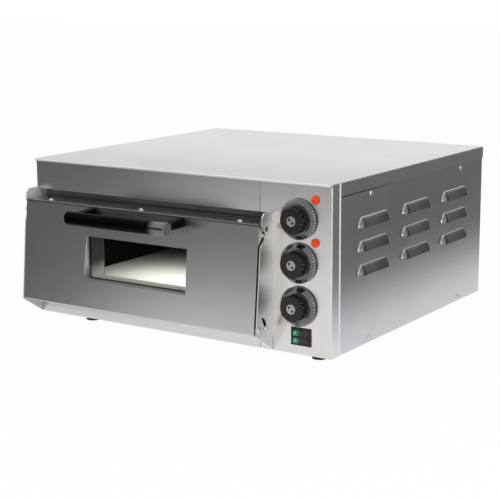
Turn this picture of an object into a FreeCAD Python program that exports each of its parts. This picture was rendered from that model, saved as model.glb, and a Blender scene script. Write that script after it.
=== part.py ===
import FreeCAD, Part
import math
import os
from collections import namedtuple
from types import SimpleNamespace

import Sketcher

# Countertop electric pizza oven with a drop-down door, in millimetres.
# Every piece is drawn in the casing's own coordinates: x from the middle of the casing, positive to
# the right seen from the front; y from the front plane, positive towards the rear; z up from the
# casing's underside. Its Placement then puts the origin on the table, under the middle of the box.

# Driving dimensions. Names that end in degrees are angles, in count are numbers of copies.
SIZES = {
    # casing
    "body_width": 560,
    "body_depth": 518,
    "body_height": 256,
    "gauge": 1,
    "bend": 2.5,
    "cover_drop": 20.5,
    "cover_lip": 5,
    "corner_return": 22.5,
    "base_upstand": 14,
    "control_width": 122,
    "panel_step": 22,
    "seam_gap": 0.6,
    "fascia_height": 49.5,
    "fascia_tab": 10,
    "lip_height": 20,
    "pocket_depth": 20,
    "partition_gap": 2,
    "rail_gauge": 1.5,
    "rail_height": 24,
    "rail_drop": 16,
    "rail_inset": 60,
    # feet
    "foot_height": 22,
    "foot_radius": 11.5,
    "foot_top_radius": 15,
    "foot_inset_side": 58,
    "foot_inset_end": 65,
    "foot_recess_radius": 5,
    "foot_recess_depth": 9,
    # screws in the casing
    "screw_radius": 2,
    "screw_play": 0.2,
    "screw_length": 7,
    "screw_head_radius": 4,
    "screw_head": 2,
    "screw_dome": 1.4,
    "side_screw_drop": 27.5,
    "side_screw_low": 7,
    "side_screw_front": 116,
    "side_screw_rear_inset": 88,
    "rear_screw_inset": 24,
    # louvres in the right side panel
    "louvre_length": 90,
    "louvre_reach": 7,
    "louvre_rise": 16,
    "louvre_first": 80,
    "louvre_last": 66,
    "louvre_drop": 75,
    "louvre_row_pitch": 36,
    "louvre_row_count": 3,
    "louvre_column_count": 3,
    # hinge cheeks
    "cheek_gauge": 2,
    "cheek_rise": 2.5,
    "cheek_set_back": 1.5,
    "cheek_toe": 1,
    "cheek_corner": 6,
    "cheek_play": 0.3,
    "hinge_reach": 37.5,
    "hinge_height": 37.5,
    "pin_radius": 3,
    "pin_fit": 0.05,
    "pin_head_radius": 5,
    "pin_head": 2.4,
    "pin_dome": 1.8,
    "pin_inside": 14,
    "bush_radius": 5,
    "bush_length": 16,
    "stop_arm": 17,
    "slot_play": 0.4,
    "head_play": 0.6,
    "door_travel_degrees": 60,
    "catch_reach": 27,
    "catch_drop": 16.5,
    "notch_depth": 6.5,
    "notch_low": 17,
    "notch_high": 15,
    "notch_mouth": 5,
    "sight_hole_reach": 16,
    "sight_hole_drop": 8.5,
    "sight_hole_radius": 4.2,
    # door
    "door_play": 2,
    "door_top_gap": 13,
    "door_bottom": 30,
    "door_reach_top": 31,
    "door_reach_bottom": 46.5,
    "door_rear": 15,
    "door_bend": 2,
    "liner_gauge": 1.2,
    "window_width": 198,
    "window_height": 69.5,
    "window_drop": 1.5,
    "frame_wall": 1.5,
    "frame_rebate": 2,
    "glass_thick": 4,
    "glass_play": 0.5,
    "outer_glass_depth": 28,
    "inner_glass_depth": 5,
    "inner_glass_margin": 9,
    "liner_window_margin": 5,
    "lining_play": 1,
    "hinge_pocket_width": 20,
    "hinge_pocket_top": 62,
    "gasket_width": 7,
    "gasket_play": 0.3,
    "gasket_round": 1.5,
    "gasket_margin": 2,
    "door_screw_set_back": 13,
    "door_screw_inset": 41.5,
    # handle
    "handle_length": 192,
    "handle_radius": 10.5,
    "handle_reach": 80,
    "handle_drop": 12.5,
    "handle_end_round": 2.5,
    "arm_gap": 0.5,
    "arm_width": 15,
    "arm_drop": 2.5,
    "arm_root": 14,
    "arm_round": 3,
    # chamber
    "chamber_inset": 25,
    "chamber_rear_space": 86.8,
    "chamber_floor": 24,
    "roof_step": 4,
    "mouth_bottom": 40,
    "mouth_drop": 27.5,
    "frame_gauge": 1.2,
    "insulation_cover": 42,
    "insulation_rear": 45,
    "insulation_side_play": 1,
    "stone_side_gap": 4,
    "stone_rear_gap": 7,
    "stone_thick": 14,
    "stone_edge": 1.5,
    "stone_front_gap": 5,
    "rail_top": 41,
    "rail_leg": 12,
    "rail_thick": 2,
    # heating elements
    "element_radius": 3.5,
    "element_inset": 35,
    "element_left_gap": 9,
    "element_right_gap": 18,
    "element_tail": 26,
    "lower_element_height": 31,
    "upper_element_drop": 13,
    "comb_gauge": 1.5,
    "comb_left": 90,
    "comb_right": 140,
    "comb_margin": 9,
    "comb_play": 0.2,
    "bush_wall": 2.5,
    "bush_play": 0.1,
    "bush_inside": 3,
    "bush_outside": 5,
    # lamp in the chamber's right wall
    "lamp_inset": 129,
    "lamp_tube_radius": 21,
    "lamp_tube_wall": 1.2,
    "lamp_tube_length": 52,
    "lamp_glass_radius": 26,
    "lamp_glass_flange": 3,
    "lamp_glass_dome": 8,
    "lamp_bulb_radius": 11,
    "lamp_bulb_length": 30,
    "lamp_bulb_round": 9,
    "lamp_base_radius": 7,
    "lamp_play": 0.3,
    # controls
    "knob_inset": 55,
    "knob_spacing": 4.5,
    "knob_switch_gap": 2,
    "knob_top_gap": 24.5,
    "knob_gap": 1.5,
    "knob_depth": 21.5,
    "knob_skirt_edge": 2.5,
    "knob_skirt_depth": 8,
    "knob_skirt_width": 6,
    "knob_groove_depth": 2.5,
    "knob_grip_step": 10.5,
    "knob_grip_taper": 0.5,
    "knob_round": 2.5,
    "knob_bore_depth": 17,
    "flute_radius": 3,
    "flute_depth": 1.3,
    "flute_count": 16,
    "insert_radius": 7.5,
    "insert_depth": 1.6,
    "insert_play": 0.1,
    "insert_dimple_radius": 1.9,
    "insert_dimple_depth": 1,
    "insert_dimple_place": 2.6,
    "insert_proud": 0.6,
    "spindle_radius": 3,
    "spindle_inside": 12,
    "spindle_hole_radius": 4.2,
    "spindle_seat": 0.3,
    "thermostat_width": 40,
    "thermostat_height": 36,
    "thermostat_depth": 30,
    "thermostat_boss": 7,
    "thermostat_boss_radius": 8,
    "timer_width": 48,
    "timer_height": 46,
    "timer_depth": 40,
    "body_edge": 2,
    "sensor_radius": 1.2,
    "sensor_bulb_radius": 3,
    "sensor_bulb_length": 80,
    "sensor_bulb_inset": 6,
    "sensor_bend": 12,
    "upper_sensor_drop": 21,
    "lower_sensor_height": 33,
    "sensor_hole_play": 0.4,
    "indicator_inset": 27.5,
    "indicator_drop": 24.5,
    "indicator_radius": 6.7,
    "indicator_reach": 6.5,
    "indicator_round": 4.5,
    "indicator_stem_radius": 4.8,
    "indicator_stem": 26,
    "indicator_play": 0.2,
    "switch_inset": 51,
    "switch_height": 27,
    "switch_width": 34,
    "switch_tall": 27,
    "switch_bezel": 2,
    "switch_bezel_round": 1,
    "switch_body_width": 30,
    "switch_body_tall": 23.4,
    "switch_body_depth": 24,
    "switch_play": 0.3,
    "rocker_width": 24.4,
    "rocker_tall": 9.2,
    "rocker_bar": 1.2,
    "rocker_play": 0.4,
    "rocker_well": 12,
    "rocker_pivot_depth": 3.5,
    "rocker_end_reach": 7.6,
    "rocker_mid_reach": 5.4,
    "rocker_back": 3,
    "rocker_back_width": 12,
    "rocker_tilt_degrees": 8,
    "axle_radius": 1.2,
    "axle_length": 0.8,
    # supply
    "gland_inset": 55,
    "gland_height": 42,
    "gland_reach": 14,
    "gland_inside": 10,
    "gland_radius": 9,
    "gland_flange_radius": 12,
    "gland_flange": 3,
    "gland_bore_radius": 5,
    "gland_play": 0.2,
    "block_inset": 54,
    "block_set_back": 60,
    "block_width": 40,
    "block_depth": 22,
    "block_height": 20,
    "block_screw_radius": 2.6,
    "block_screw_depth": 8,
    "block_screw_pitch": 12,
    # one overrun for every cut
    "overrun": 2,
}

doc = FreeCAD.newDocument("pizza_oven")
sheet = doc.addObject("Spreadsheet::Sheet", "sizes")
for row, (name, number) in enumerate(SIZES.items(), start=1):
    sheet.set(f"A{row}", name)
    sheet.set(f"B{row}", str(number))
    sheet.setAlias(f"B{row}", name)
doc.recompute()


class Length:
    """A length worked out from the sheet: its value now, and the formula that keeps it up to date."""

    def __init__(self, value, formula):
        self.value = float(value)
        self.formula = formula

    def __add__(self, other):
        other = as_length(other)
        return Length(self.value + other.value, f"({self.formula} + {other.formula})")

    def __sub__(self, other):
        other = as_length(other)
        return Length(self.value - other.value, f"({self.formula} - {other.formula})")

    def __mul__(self, factor):
        factor = as_length(factor)
        return Length(self.value * factor.value, f"({self.formula} * {factor.formula})")

    def __truediv__(self, divisor):
        divisor = as_length(divisor)
        return Length(self.value / divisor.value, f"({self.formula} / {divisor.formula})")

    def __neg__(self):
        return Length(-self.value, f"(-1 * {self.formula})")

    def __radd__(self, other):
        return as_length(other) + self

    def __rsub__(self, other):
        return as_length(other) - self

    def __rmul__(self, other):
        return as_length(other) * self


def as_length(number):
    return number if isinstance(number, Length) else Length(number, repr(number))


def cosine(degrees):
    return Length(math.cos(math.radians(degrees.value)), f"cos({degrees.formula} * 1 deg)")


def sine(degrees):
    return Length(math.sin(math.radians(degrees.value)), f"sin({degrees.formula} * 1 deg)")


size = SimpleNamespace(**{name: Length(number, f"sizes.{name}") for name, number in SIZES.items()})

# Planes and edges that several pieces share.
half = size.body_width / 2
panel_face = half - size.gauge
panel_back = panel_face - size.gauge
rear_face = size.body_depth - size.gauge
rear_back = rear_face - size.gauge
cover_under = size.body_height - size.gauge
cover_edge = size.body_height - size.cover_drop
panel_top = size.body_height - size.bend
seam = half - size.control_width
notch_side = seam + size.panel_step
fascia_bottom = size.body_height - size.fascia_height
frame_back = size.pocket_depth + size.frame_gauge
screw_hole = size.screw_radius + size.screw_play
side_screw_high = size.body_height - size.side_screw_drop
side_screw_rear = size.body_depth - size.side_screw_rear_inset

# Door, its cheeks and its window.
cheek_right = notch_side - size.cheek_gauge
cheek_left = -panel_back + size.cheek_gauge
cheek_top = fascia_bottom + size.cheek_rise
door_left = cheek_left + size.door_play
door_right = cheek_right - size.door_play
door_middle = (door_left + door_right) / 2
door_top = fascia_bottom - size.door_top_gap
door_slope = (size.door_reach_bottom - size.door_reach_top) / (door_top - size.door_bottom)
hinge_y = -size.hinge_reach
hinge_z = size.hinge_height
stop_y = hinge_y + size.stop_arm
pin_hole = size.pin_radius + size.pin_fit
catch_height = door_top - size.catch_drop
window_left = door_middle - size.window_width / 2
window_right = door_middle + size.window_width / 2
window_bottom = (size.door_bottom + door_top - size.window_height) / 2 - size.window_drop
window_top = window_bottom + size.window_height
handle_front = size.handle_reach + size.handle_radius
handle_height = door_top - size.handle_drop

# Baking chamber and what passes through its right wall.
chamber_left = door_left + size.chamber_inset
chamber_right = door_right - size.chamber_inset
chamber_back = rear_back - size.chamber_rear_space
mouth_top = door_top - size.mouth_drop
chamber_roof = mouth_top + size.roof_step
partition_left = cheek_right - size.partition_gap
stone_left = chamber_left + size.stone_side_gap
stone_right = chamber_right - size.stone_side_gap
stone_front = frame_back + size.stone_front_gap
stone_back = chamber_back - size.stone_rear_gap
stone_top = size.rail_top + size.stone_thick
bush_outer = size.element_radius + size.bush_play + size.bush_wall
upper_element_height = chamber_roof - size.upper_element_drop
element_pitch = (chamber_back - frame_back - size.element_inset * 2) / 3
element_runs = [frame_back + size.element_inset + element_pitch * number for number in range(4)]
lamp_place = frame_back + size.lamp_inset
lamp_height = (stone_top + upper_element_height - size.comb_margin) / 2
lamp_hole = size.lamp_tube_radius + size.lamp_play
sensor_place = (element_runs[2] + element_runs[3]) / 2
sensor_hole = size.sensor_bulb_radius + size.sensor_hole_play
upper_sensor_height = chamber_roof - size.upper_sensor_drop
sensor_heights = (upper_sensor_height, size.lower_sensor_height)

# Control column: three knobs fill the height between the switch and the top, with even gaps.
knob_place = half - size.knob_inset
switch_place = half - size.switch_inset
column_bottom = size.switch_height + size.switch_tall / 2 + size.knob_switch_gap
column_top = size.body_height - size.knob_top_gap
skirt_radius = (column_top - column_bottom - size.knob_spacing * 2) / 6
grip_radius = skirt_radius - size.knob_grip_step
knob_pitch = skirt_radius * 2 + size.knob_spacing
timer_knob_height = column_bottom + skirt_radius
lower_knob_height = timer_knob_height + knob_pitch
upper_knob_height = lower_knob_height + knob_pitch
indicator_place = half - size.indicator_inset
upper_indicator_height = size.body_height - size.indicator_drop
lower_indicator_height = (upper_knob_height + lower_knob_height) / 2
gland_place = half - size.gland_inset
block_place = half - size.block_inset


def door_face(height):
    """How far forward the leaning door's face stands at a height."""
    return -(size.door_reach_top + door_slope * (door_top - height))


Circle = namedtuple("Circle", "x y radius")


def rectangle(left, right, low, high):
    return [(left, low), (right, low), (right, high), (left, high)]


def seat(item):
    """Move an object from the casing's coordinates to the frame under the middle of its box."""
    reach_behind = size.body_depth + size.gland_reach
    item.setExpression("Placement.Base.y", ((handle_front - reach_behind) / 2).formula)
    item.setExpression("Placement.Base.z", size.foot_height.formula)


def vector(point):
    return FreeCAD.Vector(as_length(point[0]).value, as_length(point[1]).value, 0)


def set_constraint(sketch, constraint, length):
    index = sketch.addConstraint(constraint)
    sketch.setExpression(f"Constraints[{index}]", length.formula)


def fix_point(sketch, geometry, end, point):
    """Bind one point of a sketch's geometry to its two coordinates."""
    for kind, length in (("DistanceX", as_length(point[0])), ("DistanceY", as_length(point[1]))):
        set_constraint(sketch, Sketcher.Constraint(kind, -1, 1, geometry, end, length.value), length)


def draw_polygon(sketch, points):
    first = sketch.GeometryCount
    count = len(points)
    for number, point in enumerate(points):
        sketch.addGeometry(Part.LineSegment(vector(point), vector(points[(number + 1) % count])))
    for number, point in enumerate(points):
        following = first + (number + 1) % count
        sketch.addConstraint(Sketcher.Constraint("Coincident", first + number, 2, following, 1))
        fix_point(sketch, first + number, 1, point)


def draw_circle(sketch, circle):
    radius = as_length(circle.radius)
    normal = FreeCAD.Vector(0, 0, 1)
    index = sketch.addGeometry(Part.Circle(vector(circle), normal, radius.value))
    fix_point(sketch, index, 3, circle)
    set_constraint(sketch, Sketcher.Constraint("Radius", index, radius.value), radius)


class Piece:
    """One sub-part: a body made of sketches and features, each running towards plus x, y or z."""

    def __init__(self, label):
        self.body = doc.addObject("PartDesign::Body", label)
        self.body.Label = label
        self.body.AllowCompound = True
        seat(self.body)

    def sketch(self, plane, origin, *loops):
        """A sketch on the xy, xz or yz plane moved to an origin, with polygons and circles."""
        plane_object = next(
            item for item in self.body.Origin.OriginFeatures if item.Role == f"{plane.upper()}_Plane"
        )
        sketch = self.body.newObject("Sketcher::SketchObject", f"{self.body.Label}_{plane}")
        sketch.AttachmentSupport = [(plane_object, "")]
        sketch.MapMode = "FlatFace"
        x, y, z = (as_length(part) for part in origin)
        offsets = {"xy": (x, y, z), "xz": (x, z, -y), "yz": (y, z, x)}[plane]
        for axis, offset in zip("xyz", offsets):
            sketch.setExpression(f"AttachmentOffset.Base.{axis}", offset.formula)
        for loop in loops:
            if isinstance(loop, Circle):
                draw_circle(sketch, loop)
            else:
                draw_polygon(sketch, loop)
        return sketch

    def feature(self, kind, **settings):
        item = self.body.newObject(f"PartDesign::{kind}", f"{self.body.Label}_{kind}")
        for name, setting in settings.items():
            if isinstance(setting, Length):
                item.setExpression(name, setting.formula)
            else:
                setattr(item, name, setting)
        doc.recompute()
        return item

    def plane_origin(self, plane, start):
        return {"xy": (0, 0, start), "xz": (0, start, 0), "yz": (start, 0, 0)}[plane]

    def pad(self, plane, start, end, *loops):
        """Solid between two planes, from the lower coordinate to the higher."""
        profile = self.sketch(plane, self.plane_origin(plane, start), *loops)
        return self.feature("Pad", Profile=profile, Reversed=plane == "xz", Length=as_length(end) - start)

    def cut(self, plane, start, end, *loops):
        """Remove what lies between two planes, from the lower coordinate to the higher."""
        before = self.body.Shape.Volume
        profile = self.sketch(plane, self.plane_origin(plane, start), *loops)
        depth = as_length(end) - start
        item = self.feature("Pocket", Profile=profile, Reversed=plane != "xz", Length=depth)
        if not self.body.Shape.Volume < before:
            raise RuntimeError(f"a cut in {self.body.Label} removed nothing")
        return item

    def turn(self, plane, origin, loop, axis="H_Axis", angle=360, reverse=False, kind="Revolution"):
        profile = self.sketch(plane, origin, loop)
        return self.feature(
            kind, Profile=profile, ReferenceAxis=(profile, [axis]), Angle=angle, Reversed=reverse
        )

    def round(self, radius, *spots):
        """Round the straight edges along an axis that pass through the given points."""
        wanted = []
        for axis, first, second in spots:
            places = {
                "x": (None, first, second),
                "y": (first, None, second),
                "z": (first, second, None),
            }[axis]
            wanted += [
                f"Edge{number}"
                for number, edge in enumerate(self.body.Shape.Edges, start=1)
                if len(edge.Vertexes) == 2 and all(self.on_edge(vertex, places) for vertex in edge.Vertexes)
            ]
        self.fillet(radius, wanted)

    def round_between(self, radius, *lines):
        """Round the straight edges that join two given points in y and z, at any x."""
        wanted = []
        for start, end in lines:
            wanted += [
                f"Edge{number}"
                for number, edge in enumerate(self.body.Shape.Edges, start=1)
                if len(edge.Vertexes) == 2
                and any(
                    self.on_edge(first, (None, *start)) and self.on_edge(second, (None, *end))
                    for first, second in (edge.Vertexes, edge.Vertexes[::-1])
                )
            ]
        self.fillet(radius, wanted)

    def on_edge(self, vertex, places):
        point = self.body.Placement.inverse().multVec(vertex.Point)
        tolerance = 1e-4
        return all(
            place is None or abs(coordinate - as_length(place).value) < tolerance
            for coordinate, place in zip(point, places)
        )

    def round_rims(self, radius, rim_radius, axis, place):
        """Round the circular edges of one radius that lie in a plane square to an axis."""
        inverse = self.body.Placement.inverse()
        tolerance = 1e-4
        wanted = [
            f"Edge{number}"
            for number, edge in enumerate(self.body.Shape.Edges, start=1)
            if isinstance(edge.Curve, Part.Circle)
            and abs(edge.Curve.Radius - as_length(rim_radius).value) < tolerance
            and abs(getattr(inverse.multVec(edge.Curve.Center), axis) - as_length(place).value) < tolerance
        ]
        self.fillet(radius, wanted)

    def fillet(self, radius, edges):
        if not edges:
            raise RuntimeError(f"no edges to round in {self.body.Label}")
        self.feature("Fillet", Base=(self.body.Tip, edges), Radius=radius)


def make_base_pan():
    pan = Piece("base_pan")
    pan.pad("xy", 0, size.gauge, rectangle(-panel_back, panel_back, size.gauge, rear_back))
    lip = [
        (0, 0),
        (size.gauge, 0),
        (size.gauge, size.lip_height - size.gauge),
        (size.pocket_depth, size.lip_height - size.gauge),
        (size.pocket_depth, size.lip_height),
        (0, size.lip_height),
    ]
    pan.pad("yz", -panel_back, seam - size.seam_gap, lip)
    upstand_back = panel_back - size.gauge
    upstands = [
        rectangle(-panel_back, -upstand_back, frame_back, rear_back),
        rectangle(upstand_back, panel_back, size.corner_return, rear_back),
        rectangle(-upstand_back, upstand_back, rear_back - size.gauge, rear_back),
    ]
    for strip in upstands:
        pan.pad("xy", size.gauge, size.base_upstand, strip)
    side_places = (size.side_screw_front, side_screw_rear)
    side_holes = [Circle(y, size.side_screw_low, screw_hole) for y in side_places]
    pan.cut("yz", -panel_back - size.overrun, panel_back + size.overrun, *side_holes)
    rear_holes = [Circle(x, size.side_screw_low, screw_hole) for x in rear_screw_places()]
    pan.cut("xz", rear_back - size.gauge - size.overrun, rear_back + size.overrun, *rear_holes)
    pan.round(size.bend - size.gauge / 2, ("x", 0, size.lip_height))


def rear_screw_places():
    edge = panel_face - size.rear_screw_inset
    return (-edge, as_length(0), edge)


def side_screw_spots():
    """Height and depth of the screws on each side of the casing."""
    return [
        (y, z)
        for z in (size.side_screw_low, side_screw_high)
        for y in (size.side_screw_front, side_screw_rear)
    ]


def make_left_side_panel():
    panel = Piece("left_side_panel")
    holes = [Circle(y, z, screw_hole) for y, z in side_screw_spots()]
    sheet_outline = rectangle(size.gauge, rear_back, 0, panel_top)
    panel.pad("yz", -panel_face, -panel_back, sheet_outline, *holes)


def draw_hood(sketch, low, reach, rise, back):
    """A louvre's profile in x and z: a flat mouth, then one arc from its lip up and back to the panel."""
    corners = [(0, low + rise), (back, low + rise), (back, low), (reach, low)]
    if as_length(back).value == 0:
        del corners[1]
    first = sketch.GeometryCount
    for number, (start, end) in enumerate(zip(corners, corners[1:])):
        sketch.addGeometry(Part.LineSegment(vector(start), vector(end)))
        fix_point(sketch, first + number, 1, start)
        if number:
            joined = (first + number - 1, 2, first + number, 1)
            sketch.addConstraint(Sketcher.Constraint("Coincident", *joined))
    last = sketch.GeometryCount - 1
    fix_point(sketch, last, 2, corners[-1])
    bow = (rise * rise + reach * reach) / (reach * 2)
    circle = Part.Circle(vector((reach - bow, low)), FreeCAD.Vector(0, 0, 1), bow.value)
    lean = math.atan2(rise.value, (bow - reach).value)
    arc = sketch.addGeometry(Part.ArcOfCircle(circle, 0, lean))
    sketch.addConstraint(Sketcher.Constraint("Coincident", arc, 1, last, 2))
    sketch.addConstraint(Sketcher.Constraint("Coincident", arc, 2, first, 1))
    set_constraint(sketch, Sketcher.Constraint("DistanceY", -1, 1, arc, 3, low.value), low)


def make_right_side_panel():
    """The side panel with its pressed louvres: hoods with rounded ends, open below."""
    panel = Piece("right_side_panel")
    holes = [Circle(y, z, screw_hole) for y, z in side_screw_spots()]
    sheet_outline = rectangle(size.gauge, rear_back, 0, panel_top)
    panel.pad("yz", panel_back, panel_face, sheet_outline, *holes)
    straight = size.louvre_length - size.louvre_reach * 2
    row_count = SIZES["louvre_row_count"]
    top_row = size.body_height - size.louvre_drop
    rows = [top_row - size.louvre_row_pitch * number for number in range(row_count)]
    start = size.louvre_first + size.louvre_reach
    hollow_reach = size.louvre_reach - size.gauge
    hollow_rise = size.louvre_rise - size.gauge * 2
    hollow_back = -size.gauge - size.overrun
    hoods = (("Pad", "Revolution", size.louvre_reach, size.louvre_rise, -size.gauge / 2),
             ("Pocket", "Groove", hollow_reach, hollow_rise, hollow_back))
    for straight_kind, end_kind, reach, rise, back in hoods:
        features = []
        for kind, place in ((straight_kind, start), (end_kind, start), (end_kind, start + straight)):
            profile = panel.sketch("xz", (panel_face, place, 0))
            for low in rows:
                draw_hood(profile, low, reach, rise, back if kind == straight_kind else 0)
            if kind == straight_kind:
                item = panel.feature(kind, Profile=profile, Reversed=kind == "Pad", Length=straight)
            else:
                item = panel.feature(
                    kind,
                    Profile=profile,
                    ReferenceAxis=(profile, ["V_Axis"]),
                    Angle=90,
                    Reversed=place is start,
                )
            features.append(item)
        columns = panel.feature(
            "LinearPattern",
            Originals=features,
            Direction=(profile, ["N_Axis"]),
            Reversed=True,
            Length=size.body_depth - size.louvre_first - size.louvre_last - size.louvre_length,
            Occurrences=SIZES["louvre_column_count"],
        )
        panel.body.Tip = columns
        doc.recompute()


def make_top_cover():
    """Folded cover: flanges down both sides and the rear, and a short lip over the front."""
    cover = Piece("top_cover")
    cover.pad("xy", cover_edge, size.body_height, rectangle(-half, half, -size.gauge, size.body_depth))
    cover.round(
        size.bend,
        ("x", size.body_depth, size.body_height),
        ("y", -half, size.body_height),
        ("y", half, size.body_height),
    )
    inside = rectangle(-panel_face, panel_face, 0, rear_face)
    cover.cut("xy", cover_edge - size.overrun, cover_under, inside)
    lip_edge = size.body_height - size.cover_lip
    below_lip = rectangle(-half - size.overrun, half + size.overrun, -size.gauge - size.overrun, 0)
    cover.cut("xy", cover_edge - size.overrun, lip_edge, below_lip)
    for left, right in ((-half - size.overrun, -panel_face), (panel_face, half + size.overrun)):
        corner = rectangle(left, right, 0, size.corner_return)
        cover.cut("xy", cover_edge - size.overrun, cover_under, corner)
    inner_bend = size.bend - size.gauge
    cover.round(
        inner_bend,
        ("x", rear_face, cover_under),
        ("y", -panel_face, cover_under),
        ("y", panel_face, cover_under),
    )
    cover.round(size.gauge / 2, ("x", -size.gauge, size.body_height))


def make_rear_panel():
    panel = Piece("rear_panel")
    holes = [
        Circle(x, z, screw_hole)
        for x in rear_screw_places()
        for z in (size.side_screw_low, side_screw_high)
    ]
    entry = Circle(gland_place, size.gland_height, size.gland_radius + size.gland_play)
    panel.pad("xz", rear_back, rear_face, rectangle(-panel_face, panel_face, 0, panel_top), entry, *holes)


def make_inner_rails():
    """Strips inside the casing that the upper screws bite into."""
    rails = Piece("inner_rails")
    low = side_screw_high - size.rail_height / 2
    high = low + size.rail_height
    side_holes = [Circle(y, side_screw_high, screw_hole) for y in (size.side_screw_front, side_screw_rear)]
    strip = rectangle(size.rail_inset, rear_back - size.rail_inset / 2, low, high)
    for left, right in (
        (-panel_back, -panel_back + size.rail_gauge),
        (panel_back - size.rail_gauge, panel_back),
    ):
        rails.pad("yz", left, right, strip, *side_holes)
    rear_holes = [Circle(x, side_screw_high, screw_hole) for x in rear_screw_places()]
    strip = rectangle(-panel_back + size.rail_drop, panel_back - size.rail_drop, low, high)
    rails.pad("xz", rear_back - size.rail_gauge, rear_back, strip, *rear_holes)


def make_casing_screws():
    screws = Piece("casing_screws")
    spots = side_screw_spots()
    shanks = [Circle(y, z, size.screw_radius) for y, z in spots]
    heads = [Circle(y, z, size.screw_head_radius) for y, z in spots]
    screws.pad("yz", panel_face - size.screw_length, panel_face, *shanks)
    screws.pad("yz", panel_face, panel_face + size.screw_head, *heads)
    screws.pad("yz", -panel_face, -panel_face + size.screw_length, *shanks)
    screws.pad("yz", -panel_face - size.screw_head, -panel_face, *heads)
    rear_spots = [(x, z) for x in rear_screw_places() for z in (size.side_screw_low, side_screw_high)]
    shanks = [Circle(x, z, size.screw_radius) for x, z in rear_spots]
    heads = [Circle(x, z, size.screw_head_radius) for x, z in rear_spots]
    screws.pad("xz", rear_face - size.screw_length, rear_face, *shanks)
    screws.pad("xz", rear_face, rear_face + size.screw_head, *heads)
    for axis, place in (
        ("x", panel_face + size.screw_head),
        ("x", -panel_face - size.screw_head),
        ("y", rear_face + size.screw_head),
    ):
        screws.round_rims(size.screw_dome, size.screw_head_radius, axis, place)


def make_fascia():
    fascia = Piece("fascia")
    right = seam - size.seam_gap
    fascia.pad("xz", 0, size.gauge, rectangle(-half, right, fascia_bottom, cover_under))
    return_top = fascia_bottom + size.gauge
    fascia.pad(
        "xy", fascia_bottom, return_top, rectangle(-panel_back, right, size.gauge, size.pocket_depth)
    )
    left_return = rectangle(-half, -panel_face, size.gauge, size.corner_return)
    fascia.pad("xy", fascia_bottom, cover_under, left_return)
    tab = rectangle(right - size.gauge, right, size.gauge, size.fascia_tab)
    fascia.pad("xy", return_top, cover_under, tab)
    fascia.round(size.bend, ("z", -half, 0))
    fascia.round(size.gauge / 2, ("x", 0, fascia_bottom), ("z", right, 0))


def make_control_panel():
    panel = Piece("control_panel")
    outline = [
        (seam, 0),
        (half, 0),
        (half, cover_under),
        (seam, cover_under),
        (seam, fascia_bottom),
        (notch_side, fascia_bottom),
        (notch_side, size.lip_height),
        (seam, size.lip_height),
    ]
    holes = [Circle(knob_place, z, size.spindle_hole_radius) for z in knob_heights().values()]
    lamp_hole_radius = size.indicator_stem_radius + size.indicator_play
    holes += [
        Circle(indicator_place, z, lamp_hole_radius)
        for z in (upper_indicator_height, lower_indicator_height)
    ]
    cut_half = size.switch_body_width / 2 + size.switch_play
    cut_tall = size.switch_body_tall / 2 + size.switch_play
    switch_hole = rectangle(
        switch_place - cut_half,
        switch_place + cut_half,
        size.switch_height - cut_tall,
        size.switch_height + cut_tall,
    )
    panel.pad("xz", 0, size.gauge, outline, switch_hole, *holes)
    panel.pad("xy", 0, cover_under, rectangle(panel_face, half, size.gauge, size.corner_return))
    notch_wall = rectangle(notch_side, notch_side + size.gauge, size.gauge, size.pocket_depth)
    panel.pad("xy", size.lip_height, fascia_bottom, notch_wall)
    panel.round(size.bend, ("z", half, 0))
    panel.round(size.gauge / 2, ("z", seam, 0))


def make_partition_wall():
    wall = Piece("partition_wall")
    outline = rectangle(frame_back, rear_back - size.rail_gauge, size.gauge, cover_under - size.rail_height)
    holes = [Circle(y, z, bush_outer + size.bush_play) for y, z in element_ends()]
    holes += [Circle(lamp_place, lamp_height, lamp_hole)]
    holes += [Circle(sensor_place, z, sensor_hole) for z in sensor_heights]
    wall.pad("yz", partition_left, partition_left + size.gauge, outline, *holes)


def element_ends():
    """Depth and height of the four heater tails that pass through the chamber's right wall."""
    return [
        (y, z)
        for z in (size.lower_element_height, upper_element_height)
        for y in (element_runs[0], element_runs[-1])
    ]


def make_chamber_front_frame():
    frame = Piece("chamber_front_frame")
    outline = rectangle(-panel_back, notch_side, size.lip_height, fascia_bottom)
    mouth = rectangle(chamber_left, chamber_right, size.mouth_bottom, mouth_top)
    frame.pad("xz", size.pocket_depth, frame_back, outline, mouth)


def make_chamber_liner():
    """Baking chamber: a five-sided box, open to the front frame."""
    liner = Piece("chamber_liner")
    wall = size.liner_gauge
    outline = rectangle(
        chamber_left - wall, chamber_right + wall, size.chamber_floor - wall, chamber_roof + wall
    )
    liner.pad("xz", frame_back, chamber_back + wall, outline)
    hollow = rectangle(chamber_left, chamber_right, size.chamber_floor, chamber_roof)
    liner.cut("xz", frame_back - size.overrun, chamber_back, hollow)
    holes = [Circle(y, z, bush_outer + size.bush_play) for y, z in element_ends()]
    holes += [Circle(lamp_place, lamp_height, lamp_hole)]
    holes += [Circle(sensor_place, z, sensor_hole) for z in sensor_heights]
    liner.cut("yz", chamber_right - size.overrun, chamber_right + wall + size.overrun, *holes)


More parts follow.
